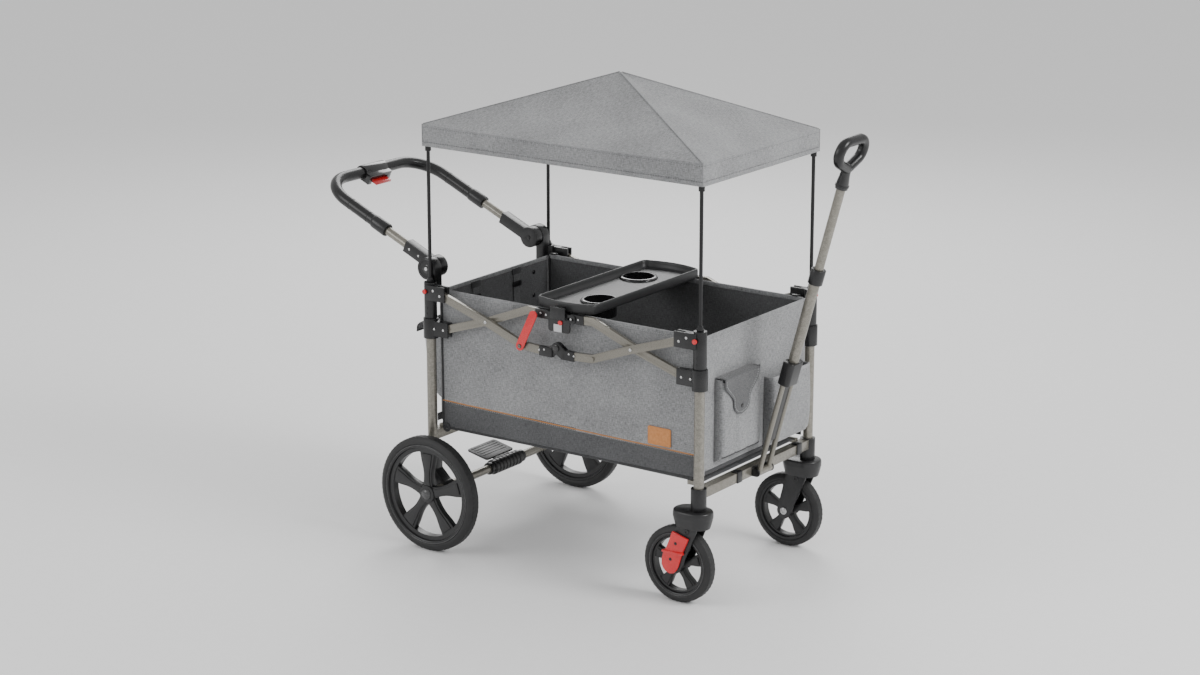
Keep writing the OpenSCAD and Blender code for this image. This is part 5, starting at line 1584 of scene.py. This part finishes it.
def flap_surface(u, v):
    half = flap_width(v)
    y = (FLAP_Y0 + FLAP_Y1) / 2 + half * (2 * u - 1)
    d = v * FLAP_RUN
    if d < 0.026:
        x, z = WALL_X + 0.0012 + d, 0.5472 + 0.0006 * math.sin(math.pi * d / 0.026)
    elif d < 0.034:
        k = (d - 0.026) / 0.008 * math.pi / 2
        x, z = WALL_X + 0.0272 + 0.0022 * math.sin(k), 0.5450 + 0.0022 * math.cos(k)
    else:
        x, z = WALL_X + 0.0294 + 0.0010 * puckers(y, d, 1.0, 15.0), 0.5450 - (d - 0.034)
    return (x, y, z)


flap = cloth_grid("pocket_flap_cloth", flap_surface, 30, 44, grey_cloth, 0.0020, inner_cloth)
rim_line = [flap_surface(0, 0.10 + 0.9 * i / 30)
            for i in range(31)] + [flap_surface(1, 1 - 0.9 * i / 30) for i in range(1, 31)]
clean_line = [rim_line[0]]
for p in rim_line[1:]:
    if (Vector(p) - Vector(clean_line[-1])).length > 0.002:
        clean_line.append(p)
flap_edge = cloth_map(sweep("flap_edge", clean_line, circle_section(0.0014, 8), slate_cloth, (1, 0, 0)))
flap_seam = stitches("flap_seam", [(x + 0.0012, -0.1058 + (y + 0.1058) * 0.93, z + 0.004) for x, y,
                                   z in clean_line[6:-6]])
flap_trims = join("pocket_flap_trims", [flap_edge, flap_seam])
settle(flap, "pocket_flap", "pocket_flap")
settle(flap_trims, "pocket_flap")
rivets("flap_snap", "pocket_flap", [((WALL_X + 0.0306, -0.1058, 0.468), (1, 0, 0))], gloss_black, 0.0055,
       0.3)

# %% [markdown]
# ## Tray
# The tray is one moulding: a plate with a raised round rim and arched ends, and two cup wells
# with turned rings. The rim is lofted through inset outlines; the plate is cut for the wells.

# %% Tray
TRAY_HALF_X, TRAY_HALF_Y, TRAY_Z = 0.086, 0.243, 0.6615
CUPS = ((0.028, -0.122), (-0.028, 0.122))


def tray_outline(inset, z):
    """Arched ends and round corners, drawn in by inset."""
    out = []
    hx, hy, corner = TRAY_HALF_X - inset, TRAY_HALF_Y - inset, 0.016
    for quarter, (sx, sy) in enumerate(((1, 1), (-1, 1), (-1, -1), (1, -1))):
        arch = 0.011
        cy = hy - arch - corner
        for i in range(9):
            t = math.pi / 2 * (quarter + i / 8)
            out.append((sx * (hx - corner) + corner * math.cos(t), sy * cy + corner * math.sin(t)))
        if quarter in (0, 2):
            for i in range(1, 16):
                x = sx * (hx - corner) * (1 - i / 8)
                out.append((x, sy * (cy + corner + arch * (1 - (x / (hx - corner)) ** 2))))
    return [(x, y, z) for x, y in out]


rings = [tray_outline(i, TRAY_Z + z) for i, z in ((0.006, 0.0), (0.0016, 0.0004), (0.0004, 0.0016),
                                                  (0.0, 0.006), (0.0, 0.0195), (0.0006, 0.0225),
                                                  (0.0020, 0.0242), (0.0040, 0.0242), (0.0054, 0.0225),
                                                  (0.0062, 0.0180), (0.0080, 0.0085), (0.0105, 0.0056),
                                                  (0.0130, 0.0050))]
tray = lofted("tray_body", rings, tray_plastic)
cutters = []
for cx, cy in CUPS:
    cutters.append(turned("cutter", (cx, cy, TRAY_Z), [(0, -0.02), (0.041, -0.02), (0.041, 0.02), (0, 0.02)],
                          tray_plastic, (0, 0, 1), 48))
cutter = join("cutter", cutters)
cut = tray.modifiers.new("cut", "BOOLEAN")
cut.object = cutter
cut.operation = "DIFFERENCE"
cut.solver = "EXACT"
apply_modifiers(tray)
bpy.data.objects.remove(cutter)
sharp_shade(tray, 40)
pieces = [tray]
for cx, cy in CUPS:
    line = [(0.0, -0.0310), (0.0405, -0.0310), (0.0412, -0.0295), (0.0412, 0.0040), (0.0488, 0.0046),
            (0.0490, 0.0062), (0.0482, 0.0082), (0.0460, 0.0100), (0.0430, 0.0108), (0.0405, 0.0106),
            (0.0392, 0.0092), (0.0390, 0.0070), (0.0390, -0.0270), (0.0382, -0.0288), (0.0, -0.0290)]
    pieces.append(turned("cup_ring", (cx, cy, TRAY_Z), line, gloss_black, (0, 0, 1), 64))
settle(join("snack_tray", pieces), "tray", "tray")
# a faint raised lip round the matte middle of the plate
lip_path = tray_outline(0.0185, TRAY_Z + 0.0052)
settle(sweep("tray_lip", lip_path, circle_section(0.0009, 6), gloss_black, (0, 0, 1), True), "tray")

# %% [markdown]
# ## Small fittings
# Hooks hold the cloth to the posts, tabs and clips finish the brackets.

# %% Hooks, tabs and clips
hooks = {"rear_frame": [], "front_frame": []}
for body, sx in (("rear_frame", -1), ("front_frame", 1)):
    for sy in (-1, 1):
        x = sx * 0.372
        y0, y1 = sorted((sy * 0.2276, sy * 0.2316))
        hooks[body].append(block("hook", (x - 0.012, y0, 0.634), (x + 0.012, y1, 0.662), black_plastic,
                                 0.0014))
        y0, y1 = sorted((sy * 0.2195, sy * 0.2300))
        hooks[body].append(block("hook_lip", (x - 0.009, y0, 0.6585), (x + 0.009, y1, 0.6625), black_plastic,
                                 0.0012))
for body, pieces in hooks.items():
    settle(join(body.split("_")[0] + "_cloth_hooks", pieces), body)
tab = block("pale_tab", (-0.0125, -0.2585, 0.6135), (0.0115, -0.2562, 0.6325), pale_tab, 0.001)
settle(tab, "centre_brackets")
clips = []
for y in (-0.088, 0.185):
    clips.append(block("beam_clip", (0.4145, y - 0.011, 0.2665), (0.4175, y + 0.011, 0.2940), black_plastic,
                       0.0012))
    clips.append(block("beam_clip_top", (0.3985, y - 0.011, 0.2915), (0.4172, y + 0.011, 0.2945),
                       black_plastic, 0.0010))
settle(join("beam_clips", clips), "front_frame")
loops = []
for sy in (-1, 1):
    loops.append(cloth_map(sweep("foot_loop", arc((-0.372, sy * 0.2284, 0.300), 0.009, 0, 360,
                                                  steps=14)[:-1], oval_section(0.004, 0.0009, 0.0007, 3),
                                                  binding_cloth, (0, 1, 0), True)))
settle(join("foot_loops", loops), "rear_frame")

# %% [markdown]
# ## Floor
# A pale floor carries the wagon.

# %% Studio floor
floor = mesh_piece("studio_floor", [(-30, -30, -0.0005), (30, -30, -0.0005), (30, 30, -0.0005),
                                    (-30, 30, -0.0005)], [(0, 1, 2, 3)], floor_paint)
